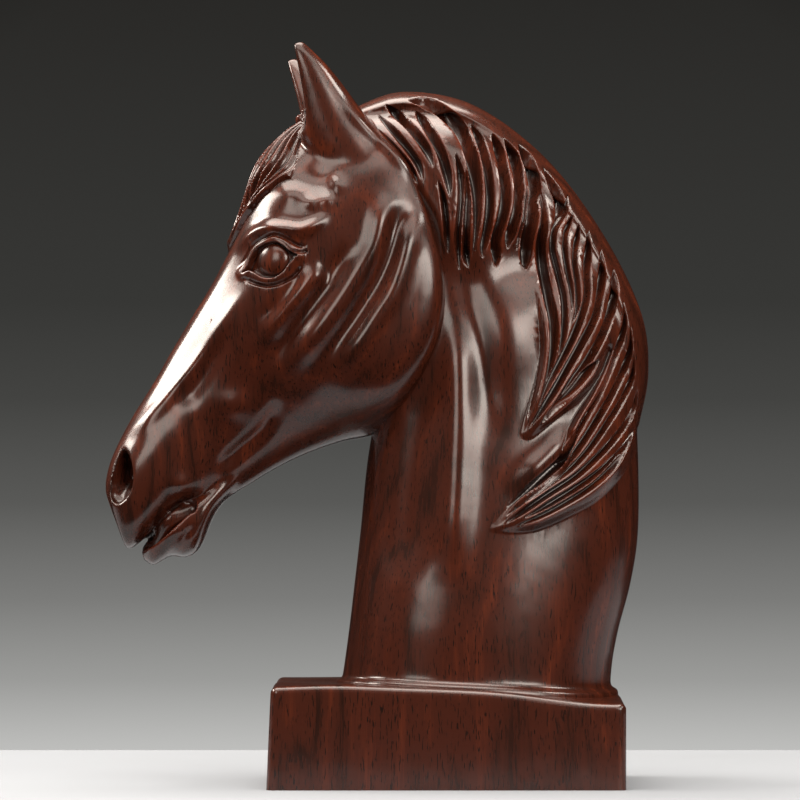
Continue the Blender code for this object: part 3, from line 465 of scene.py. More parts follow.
class Drawing:
    """Turns drawn millimetres into places on the block."""

    def __init__(self, shape):
        self.shape = shape
        self.unit = shape.bust_height / (EAR[-1][3] - DRAWN_BASE)
        front = NECK[0][0] * self.unit - shape.front_step
        back = NECK[0][2] * self.unit + shape.back_step
        self.half_length = (back - front) / 2
        self.half_width = NECK[0][4] * self.unit + shape.side_step
        self.shift = np.array((-(front + back) / 2, 0.0,
                               shape.plinth_height - DRAWN_BASE * self.unit))
        self.fineness = shape.fineness

    def place(self, drawn):
        """World places of drawn points (x, y, z)."""
        return np.asarray(drawn, dtype=float) * self.unit + self.shift

    def drawn(self, mesh):
        """Drawn x, y and z of a mesh's vertices."""
        return ((read_vectors(mesh, "co") - self.shift) / self.unit).T

    def fall(self, x, y):
        """How far the plinth's top lies under its full height at a place, in metres."""
        shape = self.shape
        along = smoothstep(shape.level - self.half_length, self.half_length, x)
        far = (np.clip(y / self.half_width, -1.0, 1.0) + 1) / 2
        turn_x, turn_sway, turn_y = RIPPLE_TURNS
        ripple = np.sin(x * turn_x + RIPPLE_SWAY * np.sin(y * turn_sway))
        ripple = shape.ripple * ripple * np.sin(y * turn_y + RIPPLE_START)
        return along * (shape.near_fall * (1 - far) + shape.far_fall * far) + ripple


def drawing():
    return Drawing(bpy.context.scene.horse_head_shape)


def curve_through(rows, count):
    """Rows of numbers on one smooth curve (Catmull-Rom) through the given rows."""
    rows = np.asarray(rows, dtype=float)
    ends = np.concatenate(([2 * rows[0] - rows[1]], rows, [2 * rows[-1] - rows[-2]]))
    steps = np.linspace(0.0, len(rows) - 1, count)
    index = np.clip(steps.astype(int), 0, len(rows) - 2)
    t = (steps - index).reshape(-1, *[1] * (rows.ndim - 1))
    p0, p1, p2, p3 = (ends[index + k] for k in range(4))
    return 0.5 * (2 * p1 + (p2 - p0) * t + (2 * p0 - 5 * p1 + 4 * p2 - p3) * t ** 2
                  + (3 * p1 - p0 - 3 * p2 + p3) * t ** 3)


def smoothstep(low, high, value):
    share = np.clip((value - low) / (high - low), 0.0, 1.0)
    return share * share * (3 - 2 * share)


def shoulder(share, power):
    """A rise from 0 to 1 that starts steep and ends level."""
    return (1 - (1 - share) ** 2) ** power


def bent(wave, power):
    """A sine or cosine made fuller (power under 1) or more pointed."""
    return np.sign(wave) * np.abs(wave) ** power


def linked(name, data):
    item = bpy.data.objects.new(name, data)
    bpy.context.scene.collection.objects.link(item)
    return item


@contextmanager
def opened(mesh):
    """A mesh opened to work on its points, edges and faces."""
    body = bmesh.new()
    body.from_mesh(mesh)
    yield body
    body.to_mesh(mesh)
    body.free()


def outward(item):
    """The object with its faces pointing out."""
    with opened(item.data) as body:
        bmesh.ops.recalc_face_normals(body, faces=body.faces)
    return item


def around(sides):
    """Angles round a section, in one row."""
    return np.linspace(0.0, 2 * math.pi, sides, endpoint=False)[None, :]


def lofted(name, grid):
    """A closed object over rings of points, capped at both ends."""
    rows, sides, _ = grid.shape
    i = np.arange(rows - 1)[:, None] * sides
    j = np.arange(sides)[None, :]
    k = (j + 1) % sides
    faces = np.stack((i + j, i + k, i + sides + k, i + sides + j), axis=2).reshape(-1, 4).tolist()
    first = list(range(sides))
    faces += [first[::-1], [(rows - 1) * sides + at for at in first]]
    mesh = bpy.data.meshes.new(name)
    mesh.from_pydata(grid.reshape(-1, 3).tolist(), [], faces)
    return outward(linked(name, mesh))


def sections(rows, sides):
    """Rings of drawn points, round from the top of each section to its bottom and back."""
    top_x, top_z, low_x, low_z, half, widest, full_top, full_low = (
        rows[:, k, None] for k in range(8))
    angle = around(sides)
    share = (1 - np.cos(angle)) / 2
    above = np.clip((widest - share) / widest, 0.0, 1.0) ** full_top
    below = np.clip((share - widest) / (1 - widest), 0.0, 1.0) ** full_low
    y = half * np.sqrt(np.clip(1 - above - below, 0.0, 1.0)) * np.sign(np.sin(angle))
    x = top_x + (low_x - top_x) * share
    z = top_z + (low_z - top_z) * share
    if rows.shape[1] > 8:
        limit = rows[:, 8, None] + BEVEL_SLOPE * share * np.hypot(low_x - top_x, low_z - top_z)
        y = y / (1 + np.abs(y / limit) ** BEVEL_CRISPNESS) ** (1 / BEVEL_CRISPNESS)
    return np.stack((x, y, z), axis=2)


def carved_length(name, plan, rows):
    """A length of the head over its sections."""
    drawn = sections(curve_through(rows, SECTION_STEPS * len(rows)), HEAD_SIDES)
    return lofted(name, plan.place(drawn))


def neck(plan, upper=NECK):
    """The neck, with a hollow fillet round its foot that follows the plinth's top."""
    shape = plan.shape
    rows = []
    for spread_out, z in ((1.0, -shape.plinth_height / 4), (1.0, 0.0),
                          (FOOT_SPREAD, shape.foot_fillet / 2)):
        front_x, _, back_x, _, half, widest, full_top, full_low = NECK[0]
        front, back, side = (spread_out * min(shape.foot_fillet, step) / plan.unit
                             for step in (shape.front_step, shape.back_step, shape.side_step))
        height = z / plan.unit + DRAWN_BASE
        rows.append((front_x - front, height, back_x + back, height, half + side,
                     widest, full_top, full_low))
    rows += upper
    drawn = sections(curve_through(rows, SECTION_STEPS * len(rows)), NECK_SIDES)
    grid = plan.place(drawn)
    near_foot = 1 - smoothstep(0.0, FOOT_BLEND, drawn[:, :, 2])
    grid[:, :, 2] -= plan.fall(grid[:, :, 0], grid[:, :, 1]) * near_foot
    return lofted("neck", grid)


def ear(plan, side):
    """One ear: a cone with a scooped front, on the near (-1) or far (1) side."""
    rows = np.array(EAR)
    if side > 0:
        rise = (rows[:, 1] - rows[0, 1]) / (rows[-1, 1] - rows[0, 1])
        for k in range(4):
            rows[:, k] += FAR_EAR_LEAN[k % 2] * rise
    rows = curve_through(rows, SECTION_STEPS * len(EAR))
    front_x, front_z, back_x, back_z, half, middle = (rows[:, k, None] for k in range(6))
    angle = around(EAR_SIDES)
    share = (1 - np.cos(angle)) / 2
    scoop = EAR_HOLLOW * np.exp(-(np.sin(angle) / EAR_HOLLOW_WIDTH) ** 2) * (np.cos(angle) > 0)
    share = share + scoop * smoothstep(*EAR_HOLLOW_START, front_z) * (1 - share)
    across = half * bent(np.sin(angle), EAR_FLAT)
    grid = np.stack((front_x + (back_x - front_x) * share, side * middle + across,
                     front_z + (back_z - front_z) * share), axis=2)
    return lofted("ear", plan.place(grid))


def crest(plan, wider=0.0):
    """The smooth band along the top of the neck."""
    path = curve_through(CREST, SECTION_STEPS * len(CREST)) + (0.0, 0.0, 0.0, wider)
    run = np.gradient(path[:, :2], axis=0)
    run /= np.linalg.norm(run, axis=1, keepdims=True)
    angle = around(CREST_SIDES)
    off = path[:, 2, None] * bent(np.cos(angle), CREST_ROOF)
    across = path[:, 3, None] * bent(np.sin(angle), CREST_ROOF)
    grid = np.stack((path[:, 0, None] - run[:, 1, None] * off, across,
                     path[:, 1, None] + run[:, 0, None] * off), axis=2)
    return lofted("crest", plan.place(grid))


def plinth(plan):
    """The block that the neck grows out of, with a hand-worked top."""
    shape = plan.shape
    mesh = bpy.data.meshes.new("plinth")
    with opened(mesh) as body:
        bmesh.ops.create_cube(body, size=1.0)
        for corner in body.verts:
            corner.co.x *= 2 * plan.half_length
            corner.co.y *= 2 * plan.half_width
            corner.co.z = (corner.co.z + 0.5) * shape.plinth_height
        rounded = [edge for edge in body.edges if max(v.co.z for v in edge.verts) > 0]
        bmesh.ops.bevel(body, geom=rounded, offset=shape.corner_radius, profile=0.5,
                        segments=PLINTH_EDGE_FACETS, affect="EDGES")
        spans = ((-plan.half_length, plan.half_length), (-plan.half_width, plan.half_width),
                 (0.0, shape.plinth_height))
        for axis, (low, high) in enumerate(spans):
            facing = np.eye(3)[axis]
            for place in np.linspace(low, high, PLINTH_CUTS[axis] + 2)[1:-1]:
                bmesh.ops.bisect_plane(body, geom=body.verts[:] + body.edges[:] + body.faces[:],
                                       plane_co=place * facing, plane_no=facing)
        for vert in body.verts:
            rise = vert.co.z / shape.plinth_height
            vert.co.z -= float(plan.fall(vert.co.x, vert.co.y)) * rise
            if vert.co.x + plan.half_length < 2 * shape.corner_radius:
                vert.co.x -= shape.flare * (1 - rise)
        # The edges of the flat underside stay sharp, so that the sides are shaded flat
        for edge in body.edges:
            edge.smooth = max(v.co.z for v in edge.verts) > TINY
    return outward(linked("plinth", mesh))


def nostril(plan, side):
    """The cutter of one nostril: its outline, narrowing and turning back as it goes in."""
    outline = curve_through(NOSTRIL + NOSTRIL[:1], NOSTRIL_SIDES)[:-1]
    middle = outline.mean(axis=0)
    outline = middle + (outline - middle) * NOSTRIL_SIZE
    rings = []
    for across, back, up, size in curve_through(NOSTRIL_WAY, NOSTRIL_RINGS):
        ring = middle + (back, up) + (outline - middle) * size
        rings.append(np.column_stack((ring[:, 0], np.full(len(ring), side * across), ring[:, 1])))
    return lofted("nostril", plan.place(np.array(rings)))


def settled(item, kind, **settings):
    """The object with one more modifier turned into mesh."""
    made = item.modifiers.new(kind.lower(), kind)
    for name, value in settings.items():
        setattr(made, name, value)
    graph = bpy.context.evaluated_depsgraph_get()
    mesh = bpy.data.meshes.new_from_object(item.evaluated_get(graph))
    item.modifiers.clear()
    item.data = mesh
    return item


def fused(name, items, width):
    """The items joined and skinned over as one closed surface, in facets of a width."""
    mesh = bpy.data.meshes.new(name)
    with opened(mesh) as body:
        for item in items:
            body.from_mesh(item.data)
            bpy.data.objects.remove(item, do_unlink=True)
    return settled(linked(name, mesh), "REMESH", mode="VOXEL", voxel_size=width)


def read_vectors(mesh, name):
    """The vertices' places ("co") or normals as an array."""
    source = mesh.vertices if name == "co" else mesh.vertex_normals
    values = np.empty(len(mesh.vertices) * 3)
    source.foreach_get("co" if name == "co" else "vector", values)
    return values.reshape(-1, 3)


def write_points(mesh, points):
    mesh.vertices.foreach_set("co", points.ravel())
    mesh.update()


def spread(mesh, values, share, rounds):
    """Values at the vertices, each moved a share of the way to its neighbours' mean."""
    edges = np.empty(len(mesh.edges) * 2, dtype=np.int64)
    mesh.edges.foreach_get("vertices", edges)
    start, end = edges.reshape(-1, 2).T
    degree = np.maximum(np.bincount(edges, minlength=len(values)), 1)
    if np.ndim(share):
        used = (share[start] > 0) | (share[end] > 0)
        start, end = start[used], end[used]
    for _ in range(rounds):
        for axis in range(values.shape[1]):
            line = values[:, axis]
            total = np.bincount(start, line[end], len(line))
            total += np.bincount(end, line[start], len(line))
            line += share * (total / degree - line)
    return values


def rubbed_down(mesh, how, where=1.0):
    """The vertices' places after rubbing down, by shares that may differ between vertices."""
    share, quick_rounds, rounds = how
    return spread(mesh, read_vectors(mesh, "co"), share * where,
                  rounds)


def eased(item, how, where=1.0):
    """Rub the surface down."""
    write_points(item.data, rubbed_down(item.data, how, where))


def soft_facing(mesh, rounds):
    """Which way each vertex faces, evened out with its neighbours."""
    facing = spread(mesh, read_vectors(mesh, "normal"), FACING_SHARE, rounds)
    return facing / np.linalg.norm(facing, axis=1, keepdims=True)


def radii_away(x, z, middle, radii):
    """How many radii drawn places lie from a middle."""
    return np.hypot((x - middle[0]) / radii[0], (z - middle[1]) / radii[1])


def round_place(x, z, middle, radii, full):
    """1 at drawn places round a middle, falling to 0 at the radii."""
    return 1 - smoothstep(full, 1.0, radii_away(x, z, middle, radii))


def refined(item, plan, middle, radii):
    """Halve the facets round a drawn place (x, z) on both sides."""
    x, _, z = plan.drawn(item.data)
    near = radii_away(x, z, middle, radii) < 1
    with opened(item.data) as body:
        body.verts.ensure_lookup_table()
        edges = [edge for edge in body.edges if all(near[v.index] for v in edge.verts)]
        bmesh.ops.subdivide_edges(body, edges=edges, cuts=1, use_grid_fill=True)


def boxed(x, z, path, reach):
    """Which drawn places lie in the box round a path."""
    low, high = path.min(axis=0) - reach, path.max(axis=0) + reach
    return (x > low[0]) & (x < high[0]) & (z > low[1]) & (z < high[1])


def beside(x, z, path):
    """Distance of drawn places from a path, the same with the path's left side plus and its
    right side minus, and the share of the path where each is nearest."""
    nearest = np.full(len(x), np.inf)
    signed = np.zeros(len(x))
    share = np.zeros(len(x))
    for i, ((ax, az), (bx, bz)) in enumerate(zip(path, path[1:])):
        run_x, run_z = bx - ax, bz - az
        along = np.clip(((x - ax) * run_x + (z - az) * run_z) / (run_x ** 2 + run_z ** 2), 0, 1)
        distance = np.hypot(x - ax - along * run_x, z - az - along * run_z)
        closer = distance < nearest
        nearest[closer] = distance[closer]
        left = np.sign(run_x * (z - az) - run_z * (x - ax))
        signed[closer] = (left * distance)[closer]
        share[closer] = (i + along[closer]) / (len(path) - 1)
    return nearest, signed, share


def near_path(x, z, path, reach):
    """Which drawn places are near a path, their signed distance and their share of it."""
    path = curve_through(path, PATH_STEPS * len(path))
    pick = np.flatnonzero(boxed(x, z, path, reach))
    return pick, *beside(x[pick], z[pick], path)[1:]


def inside(x, z, path):
    """Which places lie inside a closed path."""
    found = np.zeros(len(x), dtype=bool)
    for (ax, az), (bx, bz) in zip(path, np.roll(path, -1, axis=0)):
        if az != bz:
            crossing = (az > z) != (bz > z)
            found ^= crossing & (x < ax + (z - az) * (bx - ax) / (bz - az))
    return found


def form_lift(x, z, forms, rounds):
    """Height of the low forms and rounds at drawn places."""
    lift = np.zeros(len(x))
    least, widths, most = FORM_FADE
    for at_x, at_z, wide, high, height in rounds:
        lift += height * np.exp(-((x - at_x) / wide) ** 2 - ((z - at_z) / high) ** 2)
    for path, width, height in forms:
        pick, distance, share = near_path(x, z, path, 3 * width)
        run = np.linalg.norm(np.diff(path, axis=0), axis=1).sum()
        end = min(max(least, widths * width / run), most)
        fade = smoothstep(0.0, end, share) * smoothstep(0.0, end, 1 - share)
        lift[pick] += height * fade * np.exp(-(distance / width) ** 2)
    return lift


def gouge_depth(x, z, cuts, lean=0.0):
    """Depth of the gouges at drawn places. Each starts and ends in a point."""
    depth = np.zeros(len(x))
    for half, opening, closing, path in cuts:
        pick, distance, share = near_path(x, z, path, 1.5 * half)
        wide = half * np.sqrt(smoothstep(0.0, opening, share) * smoothstep(0.0, closing, 1 - share))
        wide = np.maximum(wide, TINY)
        across = np.abs(distance) / (wide * (1 + lean * np.sign(distance)))
        cut = GOUGE_DEPTH * wide * np.clip(1 - across ** 2, 0.0, 1.0) ** GOUGE_ROUND
        depth[pick] = np.maximum(depth[pick], cut)
    return depth


def mane_rise(x, z):
    """How far the mane has risen to its full lift at drawn places, from 0 to 1."""
    runs = []
    for reach, crisp, path in MANE_EDGES:
        smooth = len(path) > STRAIGHT_EDGE
        path = curve_through(path, EDGE_STEPS * len(path)) if smooth else np.array(path)
        runs.append((reach, crisp, path))
    rise = inside(x, z, np.concatenate([path[:-1] for _, _, path in runs])).astype(float)
    for reach, crisp, path in runs:
        pick = np.flatnonzero((rise > 0) & boxed(x, z, path, reach))
        share = np.clip(beside(x[pick], z[pick], path)[0] / reach, 0.0, 1.0)
        share = shoulder(share, SHOULDER) if crisp else smoothstep(0.0, 1.0, share)
        rise[pick] = np.minimum(rise[pick], share)
    for tip_x, tip_z in MANE_TIPS:
        near_tip = smoothstep(0.0, TIP_LENGTH, np.hypot(x - tip_x, z - tip_z))
        rise *= TIP_SHARE + (1 - TIP_SHARE) * near_tip
    return rise


def pushed(item, plan, lift, facing):
    """Move the vertices out along their facings by a drawn lift."""
    points = read_vectors(item.data, "co")
    points += facing * (lift * plan.unit)[:, None]
    write_points(item.data, points)


def sideways(facing):
    """How far each facing turns to the side, for forms drawn in the elevation."""
    return np.clip(np.abs(facing[:, 1]), 0.0, 1.0) ** 0.5


def raise_mane(item, plan):
    """Fill the neck out to the mane's body, whose surface runs smoothly over the crest."""
    rows = [(*row[:4], row[4] + MANE_LIFT, *row[5:7], max(row[7], MANE_FULLNESS)) for row in NECK]
    guide = fused("guide", [neck(plan, rows), crest(plan, MANE_OVER_CREST)], GUIDE_FINENESS)
    eased(guide, EASE_GUIDE)
    with opened(guide.data) as body:
        tree = BVHTree.FromBMesh(body)
    bpy.data.objects.remove(guide, do_unlink=True)
    points = read_vectors(item.data, "co")
    x, y, z = plan.drawn(item.data)
    rise = mane_rise(x, z)
    rise[np.abs(y) < MANE_PARTING] = 0.0
    for k in np.flatnonzero(rise > 0):
        side = 1.0 if y[k] > 0 else -1.0
        origin = Vector((points[k, 0], side * OUTSIDE * plan.unit, points[k, 2]))
        hit, _, _, _ = tree.ray_cast(origin, Vector((0.0, -side, 0.0)))
        if hit is not None:
            gain = max(0.0, side * (hit.y - points[k, 1]))
            points[k, 1] += side * gain * rise[k]
    write_points(item.data, points)
    # Only the mane's edge, where it has risen part of the way, is rubbed down
    eased(item, EASE_MANE_EDGE, np.minimum(4 * rise * (1 - rise), 1.0))


def cut_mane(item, plan):
    """Cut the gouges of the mane."""
    facing = soft_facing(item.data, MANE_FACING)
    x, y, z = plan.drawn(item.data)
    depth = np.where(y < 0, gouge_depth(x, z, MANE_CUTS, GOUGE_LEAN),
                     gouge_depth(x, z, MANE_CUTS[::FAR_SIDE_KEEPS], GOUGE_LEAN))
    pushed(item, plan, -depth * smoothstep(*GOUGE_PARTING, np.abs(y)), facing)


def cut_forelock(item, plan):
    """Raise the forelock on the forehead and cut its gouges."""
    facing = soft_facing(item.data, FORELOCK_FACING)
    x, y, z = plan.drawn(item.data)
    pick, distance, share = near_path(x, z, FORELOCK_LINE, FORELOCK_REACH)
    keep = (distance > FORELOCK_DEPTH[0]) & (distance < FORELOCK_DEPTH[1])
    whole = FORELOCK_STATIONS[-1]
    pick, down, across = pick[keep], share[keep] * whole, y[pick][keep]
    edge = np.interp(down, FORELOCK_STATIONS, FORELOCK_HALF) - np.abs(across)
    rise = shoulder(np.clip(edge / FORELOCK_EDGE, 0.0, 1.0), FORELOCK_SHOULDER)
    rise *= (smoothstep(0.0, FORELOCK_ENDS[0], down)
             * smoothstep(0.0, FORELOCK_ENDS[1], whole - down))
    sway, sway_length, sway_shift = FORELOCK_WAVE
    cuts = []
    for out, start, end, wide in FORELOCK_CUTS:
        at = np.linspace(start, end, FORELOCK_STEPS) * whole
        half = np.interp(at, FORELOCK_STATIONS, FORELOCK_HALF)
        for side in (-1, 1):
            run = side * (out + sway * np.sin(at / sway_length + sway_shift * out)) * half
            cuts.append((wide, *FORELOCK_GOUGE_ENDS, np.column_stack((at, run))))
    lift = np.zeros(len(x))
    lift[pick] = FORELOCK_LIFT * rise - gouge_depth(down, across, cuts) * (rise > 0)
    # The forehead faces up and forward
    lift *= smoothstep(*FORELOCK_TURN, 0.8 * facing[:, 2] - 0.6 * facing[:, 0])
    pushed(item, plan, lift, facing)


def eye_lift(x, z):
    """Height of the eyeball, lids and creases at drawn places."""
    lift = np.zeros(len(x))
    for path, high in ((UPPER_MARGIN, UPPER_LID_LIFT), (LOWER_MARGIN, LOWER_LID_LIFT)):
        pick, distance, _ = near_path(x, z, path, 2 * LID_WIDTH)
        band = high * np.exp(-(np.abs(distance) / LID_WIDTH) ** LID_SQUARENESS)
        lift[pick] = np.maximum(lift[pick], band)
    half, depth = CREASE_CUT
    for path in (UPPER_CREASE, LOWER_CREASE, CORNER_CUT):
        pick, distance, share = near_path(x, z, path, 3 * half)
        fade = smoothstep(0.0, CREASE_FADE, share) * smoothstep(0.0, CREASE_FADE, 1 - share)
        across = np.abs(distance) / (CREASE_REACH * half)
        lift[pick] -= depth * fade * np.clip(1 - across ** CREASE_ROUND, 0, 1)
    opening = np.concatenate((curve_through(UPPER_MARGIN, MARGIN_STEPS),
                              curve_through(LOWER_MARGIN, MARGIN_STEPS)[::-1]))
    pick = np.flatnonzero(inside(x, z, opening))
    away = radii_away(x[pick], z[pick], EYE, EYEBALL_RADII)
    lift[pick] = EYE_FLOOR + EYEBALL_RISE * np.clip(1 - away ** 2, 0.0, 1.0) ** EYEBALL_ROUND
    return lift


def thinned(item, triangles):
    """The surface in fewer and larger facets where it is plain."""
    item.data.calc_loop_triangles()
    return settled(item, "DECIMATE", ratio=min(1.0, triangles / len(item.data.loop_triangles)))


def marked(item):
    """Note how far each vertex stands out from the surface round it, or lies in (minus), for the
    painted shade with settled polish in the cuts, and the painted highlight with polish rubbed
    through on the edges."""
    mesh = item.data
    stands_out = read_vectors(mesh, "co") - rubbed_down(mesh, MARKING)
    relief = np.sum(stands_out * read_vectors(mesh, "normal"), axis=1)
    mesh.attributes.new("relief", "FLOAT", "POINT").data.foreach_set("value", relief)


def finished(item, material):
    """The piece smooth, in its finish, and part of the carved block."""
    item.data.materials.clear()
    item.data.materials.append(material)
    item.data.polygons.foreach_set("use_smooth", [True] * len(item.data.polygons))
    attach(item, "root")
    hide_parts(SOLID)
    return item


def node(tree, kind, inputs=None, **settings):
    """Add a node with its settings, and set or link its inputs."""
    made = tree.nodes.new(kind)
    for name, value in settings.items():
        setattr(made, name, value)
    for socket, value in (inputs or {}).items():
        if isinstance(value, bpy.types.NodeSocket):
            tree.links.new(value, made.inputs[socket])
        else:
            made.inputs[socket].default_value = value
    return made


def set_stops(ramp, stops):
    """Give a colour ramp its places and colours."""
    while len(ramp.elements) < len(stops):
        ramp.elements.new(0.5)
    for element, (at, colour) in zip(ramp.elements, stops):
        element.position = at
        element.color = colour


def lacquered_rosewood():
    """Dark rosewood, carved, sanded and brushed with clear lacquer: the grain stands upright
    in near-black veins and red streaks, fine pores break up the gloss, shade is painted into
    the cuts and a lighter, redder highlight onto the edges, and the thick clear coat gives
    soft-edged bright reflections over the dull sheen of the wood."""
    name = "lacquered rosewood"
    if name in bpy.data.materials:
        return bpy.data.materials[name]
    look = bpy.context.scene.horse_head_finish
    material = bpy.data.materials.new(name)
    material.use_nodes = True
    tree = material.node_tree
    shader = tree.nodes["Principled BSDF"]
    place = node(tree, "ShaderNodeTexCoord").outputs["Object"]
    # The growth rings stand round the heart of the tree, outside the block to the far side,
    # and wander by several millimetres.
    wander = node(tree, "ShaderNodeTexNoise", {
        "Vector": node(tree, "ShaderNodeMapping", {
            "Vector": place, "Scale": (16.0, 16.0, 5.0)}).outputs["Vector"],
        "Scale": 1.0, "Detail": 3.0, "Roughness": 0.5})
    wandering = node(tree, "ShaderNodeVectorMath", {
        0: wander.outputs["Color"], 1: (0.045, 0.045, 0.0), 2: place},
        operation="MULTIPLY_ADD").outputs["Vector"]
    rings = node(tree, "ShaderNodeTexWave", {
        "Vector": node(tree, "ShaderNodeMapping", {
            "Vector": wandering, "Location": (-0.03, -0.16, 0.0)}).outputs["Vector"],
        "Scale": math.pi / (10 * look.ring_width), "Distortion": 0.0},
        wave_type="RINGS", rings_direction="Z", wave_profile="SIN")
    noise = {}
    for kind, source, stretch, detail, rough in (
            # Streaks 3 mm wide and 80 mm long, finer ones 1 mm wide, and clouds of 33 mm
            ("streaks", wandering, (330.0, 330.0, 12.0), 4.0, 0.6),
            ("fibres", place, (1100.0, 1100.0, 45.0), 2.0, 0.6),
            ("clouds", place, (30.0, 30.0, 12.0), 3.0, 0.55),
            # Pores are 0.1 to 0.2 mm wide, and drawn about twice as wide so that they show
            ("pores", place, (1900.0, 1900.0, 230.0), 1.0, 0.5),
            # Hand sanding leaves the surface a little uneven at 12 mm and gritty at 1 mm
            ("dents", place, (85.0, 85.0, 85.0), 1.0, 0.5),
            ("grit", place, (900.0, 900.0, 320.0), 2.0, 0.6)):
        mapped = node(tree, "ShaderNodeMapping", {"Vector": source, "Scale": stretch})
        noise[kind] = node(tree, "ShaderNodeTexNoise", {
            "Vector": mapped.outputs["Vector"], "Scale": 1.0, "Detail": detail,
            "Roughness": rough}).outputs["Fac"]
    figure = rings.outputs["Fac"]
    for kind, share in (("streaks", 0.62), ("clouds", 0.30), ("fibres", 0.22)):
        figure = node(tree, "ShaderNodeMix", {
            "Factor": share, 2: figure, 3: noise[kind]}).outputs[0]
    ramp = node(tree, "ShaderNodeValToRGB", {"Fac": figure})
    set_stops(ramp.color_ramp, ((0.30, look.vein), (0.46, look.heart), (0.58, look.heart),
                                (0.74, look.flame)))
    # Shade is painted near-black into cuts deeper than 0.1 mm, where dark polish also settles, and
    # a lighter, redder highlight onto the edges that stand out by 0.3 mm or more, where the wood is
    # also rubbed back.
    relief = node(tree, "ShaderNodeAttribute", attribute_name="relief").outputs["Fac"]
    pits, painted_cut_shade, rubbed = (node(tree, "ShaderNodeMapRange", {
        "Value": value, "From Min": low, "From Max": high, "To Max": most}).outputs["Result"]
        for value, low, high, most in ((noise["pores"], 0.60, 0.70, 1.0),
                                       (relief, -0.0001, -0.0007, 0.85),
                                       (relief, 0.0003, 0.0012, 0.4)))
    colour = ramp.outputs["Color"]
    # Over the grain: dark pores, the painted shade in the cuts and the painted highlight on the
    # edges
    for share, over in ((pits, look.vein), (painted_cut_shade, look.stain_and_shade), (rubbed, look.edge)):
        colour = node(tree, "ShaderNodeMix", {0: share, 6: colour, 7: over},
                      data_type="RGBA").outputs[2]
    tree.links.new(colour, shader.inputs["Base Color"])
    uneven = node(tree, "ShaderNodeBump", {
        "Height": noise["dents"], "Strength": 1.0, "Distance": 0.00013})
    gritty = node(tree, "ShaderNodeBump", {
        "Height": noise["grit"], "Strength": 1.0, "Distance": 0.000012,
        "Normal": uneven.outputs["Normal"]})
    pitted = node(tree, "ShaderNodeBump", {
        "Height": pits, "Strength": 1.0, "Distance": 0.00002,
        "Normal": gritty.outputs["Normal"]}, invert=True)
    tree.links.new(pitted.outputs["Normal"], shader.inputs["Normal"])
    tree.links.new(gritty.outputs["Normal"], shader.inputs["Coat Normal"])
    for socket, value in (("Roughness", look.wood_roughness), ("IOR", 1.5),
                          ("Specular IOR Level", 0.03), ("Coat Weight", 0.9),
                          ("Coat Roughness", look.lacquer_roughness), ("Coat IOR", 1.5)):
        shader.inputs[socket].default_value = value
    return material


def matt_board():
    """White painted board, rolled and matt: a pale, even surface with a faint soft sheen."""
    material = bpy.data.materials.new("matt white board")
    material.use_nodes = True
    tree = material.node_tree
    shader = tree.nodes["Principled BSDF"]
    mottle = node(tree, "ShaderNodeTexNoise", {
        "Vector": node(tree, "ShaderNodeTexCoord").outputs["Object"],
        "Scale": 9.0, "Detail": 2.0, "Roughness": 0.5})
    tone = node(tree, "ShaderNodeMix", {
        0: mottle.outputs["Fac"], 6: real("#83898f"), 7: real("#888e95")}, data_type="RGBA")
    tree.links.new(tone.outputs[2], shader.inputs["Base Color"])
    shader.inputs["Roughness"].default_value = 0.55
    return material


class HORSEHEAD_OT_head(bpy.types.Operator):
    """Carve the head: skull, jaw, mouth, nostrils, ears, eyes and forelock"""
    bl_idname = "horsehead.head"
    bl_label = "Carve Head"

    def execute(self, context):
        plan = drawing()
        skull = carved_length("skull", plan, HEAD)
        for side in (-1, 1):
            cutter = nostril(plan, side)
            settled(skull, "BOOLEAN", operation="DIFFERENCE", object=cutter)
            bpy.data.objects.remove(cutter, do_unlink=True)
        parts = [skull, carved_length("lower jaw", plan, LOWER_JAW), ear(plan, -1), ear(plan, 1)]
        head = fused("head", parts, plan.fineness)
        x, y, z = plan.drawn(head.data)
        eased(head, EASE_HEAD)
        eased(head, EASE_EARS, smoothstep(*EAR_BLEND, z))
        eased(head, EASE_EAR_ROOT, round_place(x, z, *EAR_ROOT) * (np.abs(y) > EAR_ROOT_CLEAR))
        eased(head, EASE_JAW_ROOT, round_place(x, z, *JAW_ROOT))
        refined(head, plan, *FINE_PLACE)
        facing = soft_facing(head.data, HEAD_FACING)
        x, _, z = plan.drawn(head.data)
        lift = form_lift(x, z, HEAD_FORMS, HEAD_ROUNDS) + eye_lift(x, z)
        lift -= gouge_depth(x, z, (MOUTH_CUT,))
        pushed(head, plan, lift * sideways(facing), facing)
        cut_forelock(head, plan)
        eased(head, EASE_HEAD_CUTS)
        marked(head)
        thinned(head, plan.shape.triangles)
        finished(head, lacquered_rosewood())
        return {"FINISHED"}


class HORSEHEAD_OT_neck(bpy.types.Operator):
    """Carve the neck with its muscles, the crest and the mane"""
    bl_idname = "horsehead.neck"
    bl_label = "Carve Neck and Mane"

    def execute(self, context):
        plan = drawing()
        column = fused("neck_and_mane", [neck(plan), crest(plan)], plan.fineness)
        eased(column, EASE_NECK)
        raise_mane(column, plan)
        eased(column, EASE_MANE)
        facing = read_vectors(column.data, "normal")
        x, _, z = plan.drawn(column.data)
        lift = form_lift(x, z, NECK_FORMS, NECK_ROUNDS)
        pushed(column, plan, lift * sideways(facing), facing)
        cut_mane(column, plan)
        eased(column, EASE_MANE_CUTS)
        marked(column)
        thinned(column, plan.shape.triangles)
        finished(column, lacquered_rosewood())
        return {"FINISHED"}


class HORSEHEAD_OT_plinth(bpy.types.Operator):
    """Square the plinth, round its edges and leave its top hand-worked"""
    bl_idname = "horsehead.plinth"
    bl_label = "Cut Plinth"

    def execute(self, context):
        finished(plinth(drawing()), lacquered_rosewood())
        return {"FINISHED"}


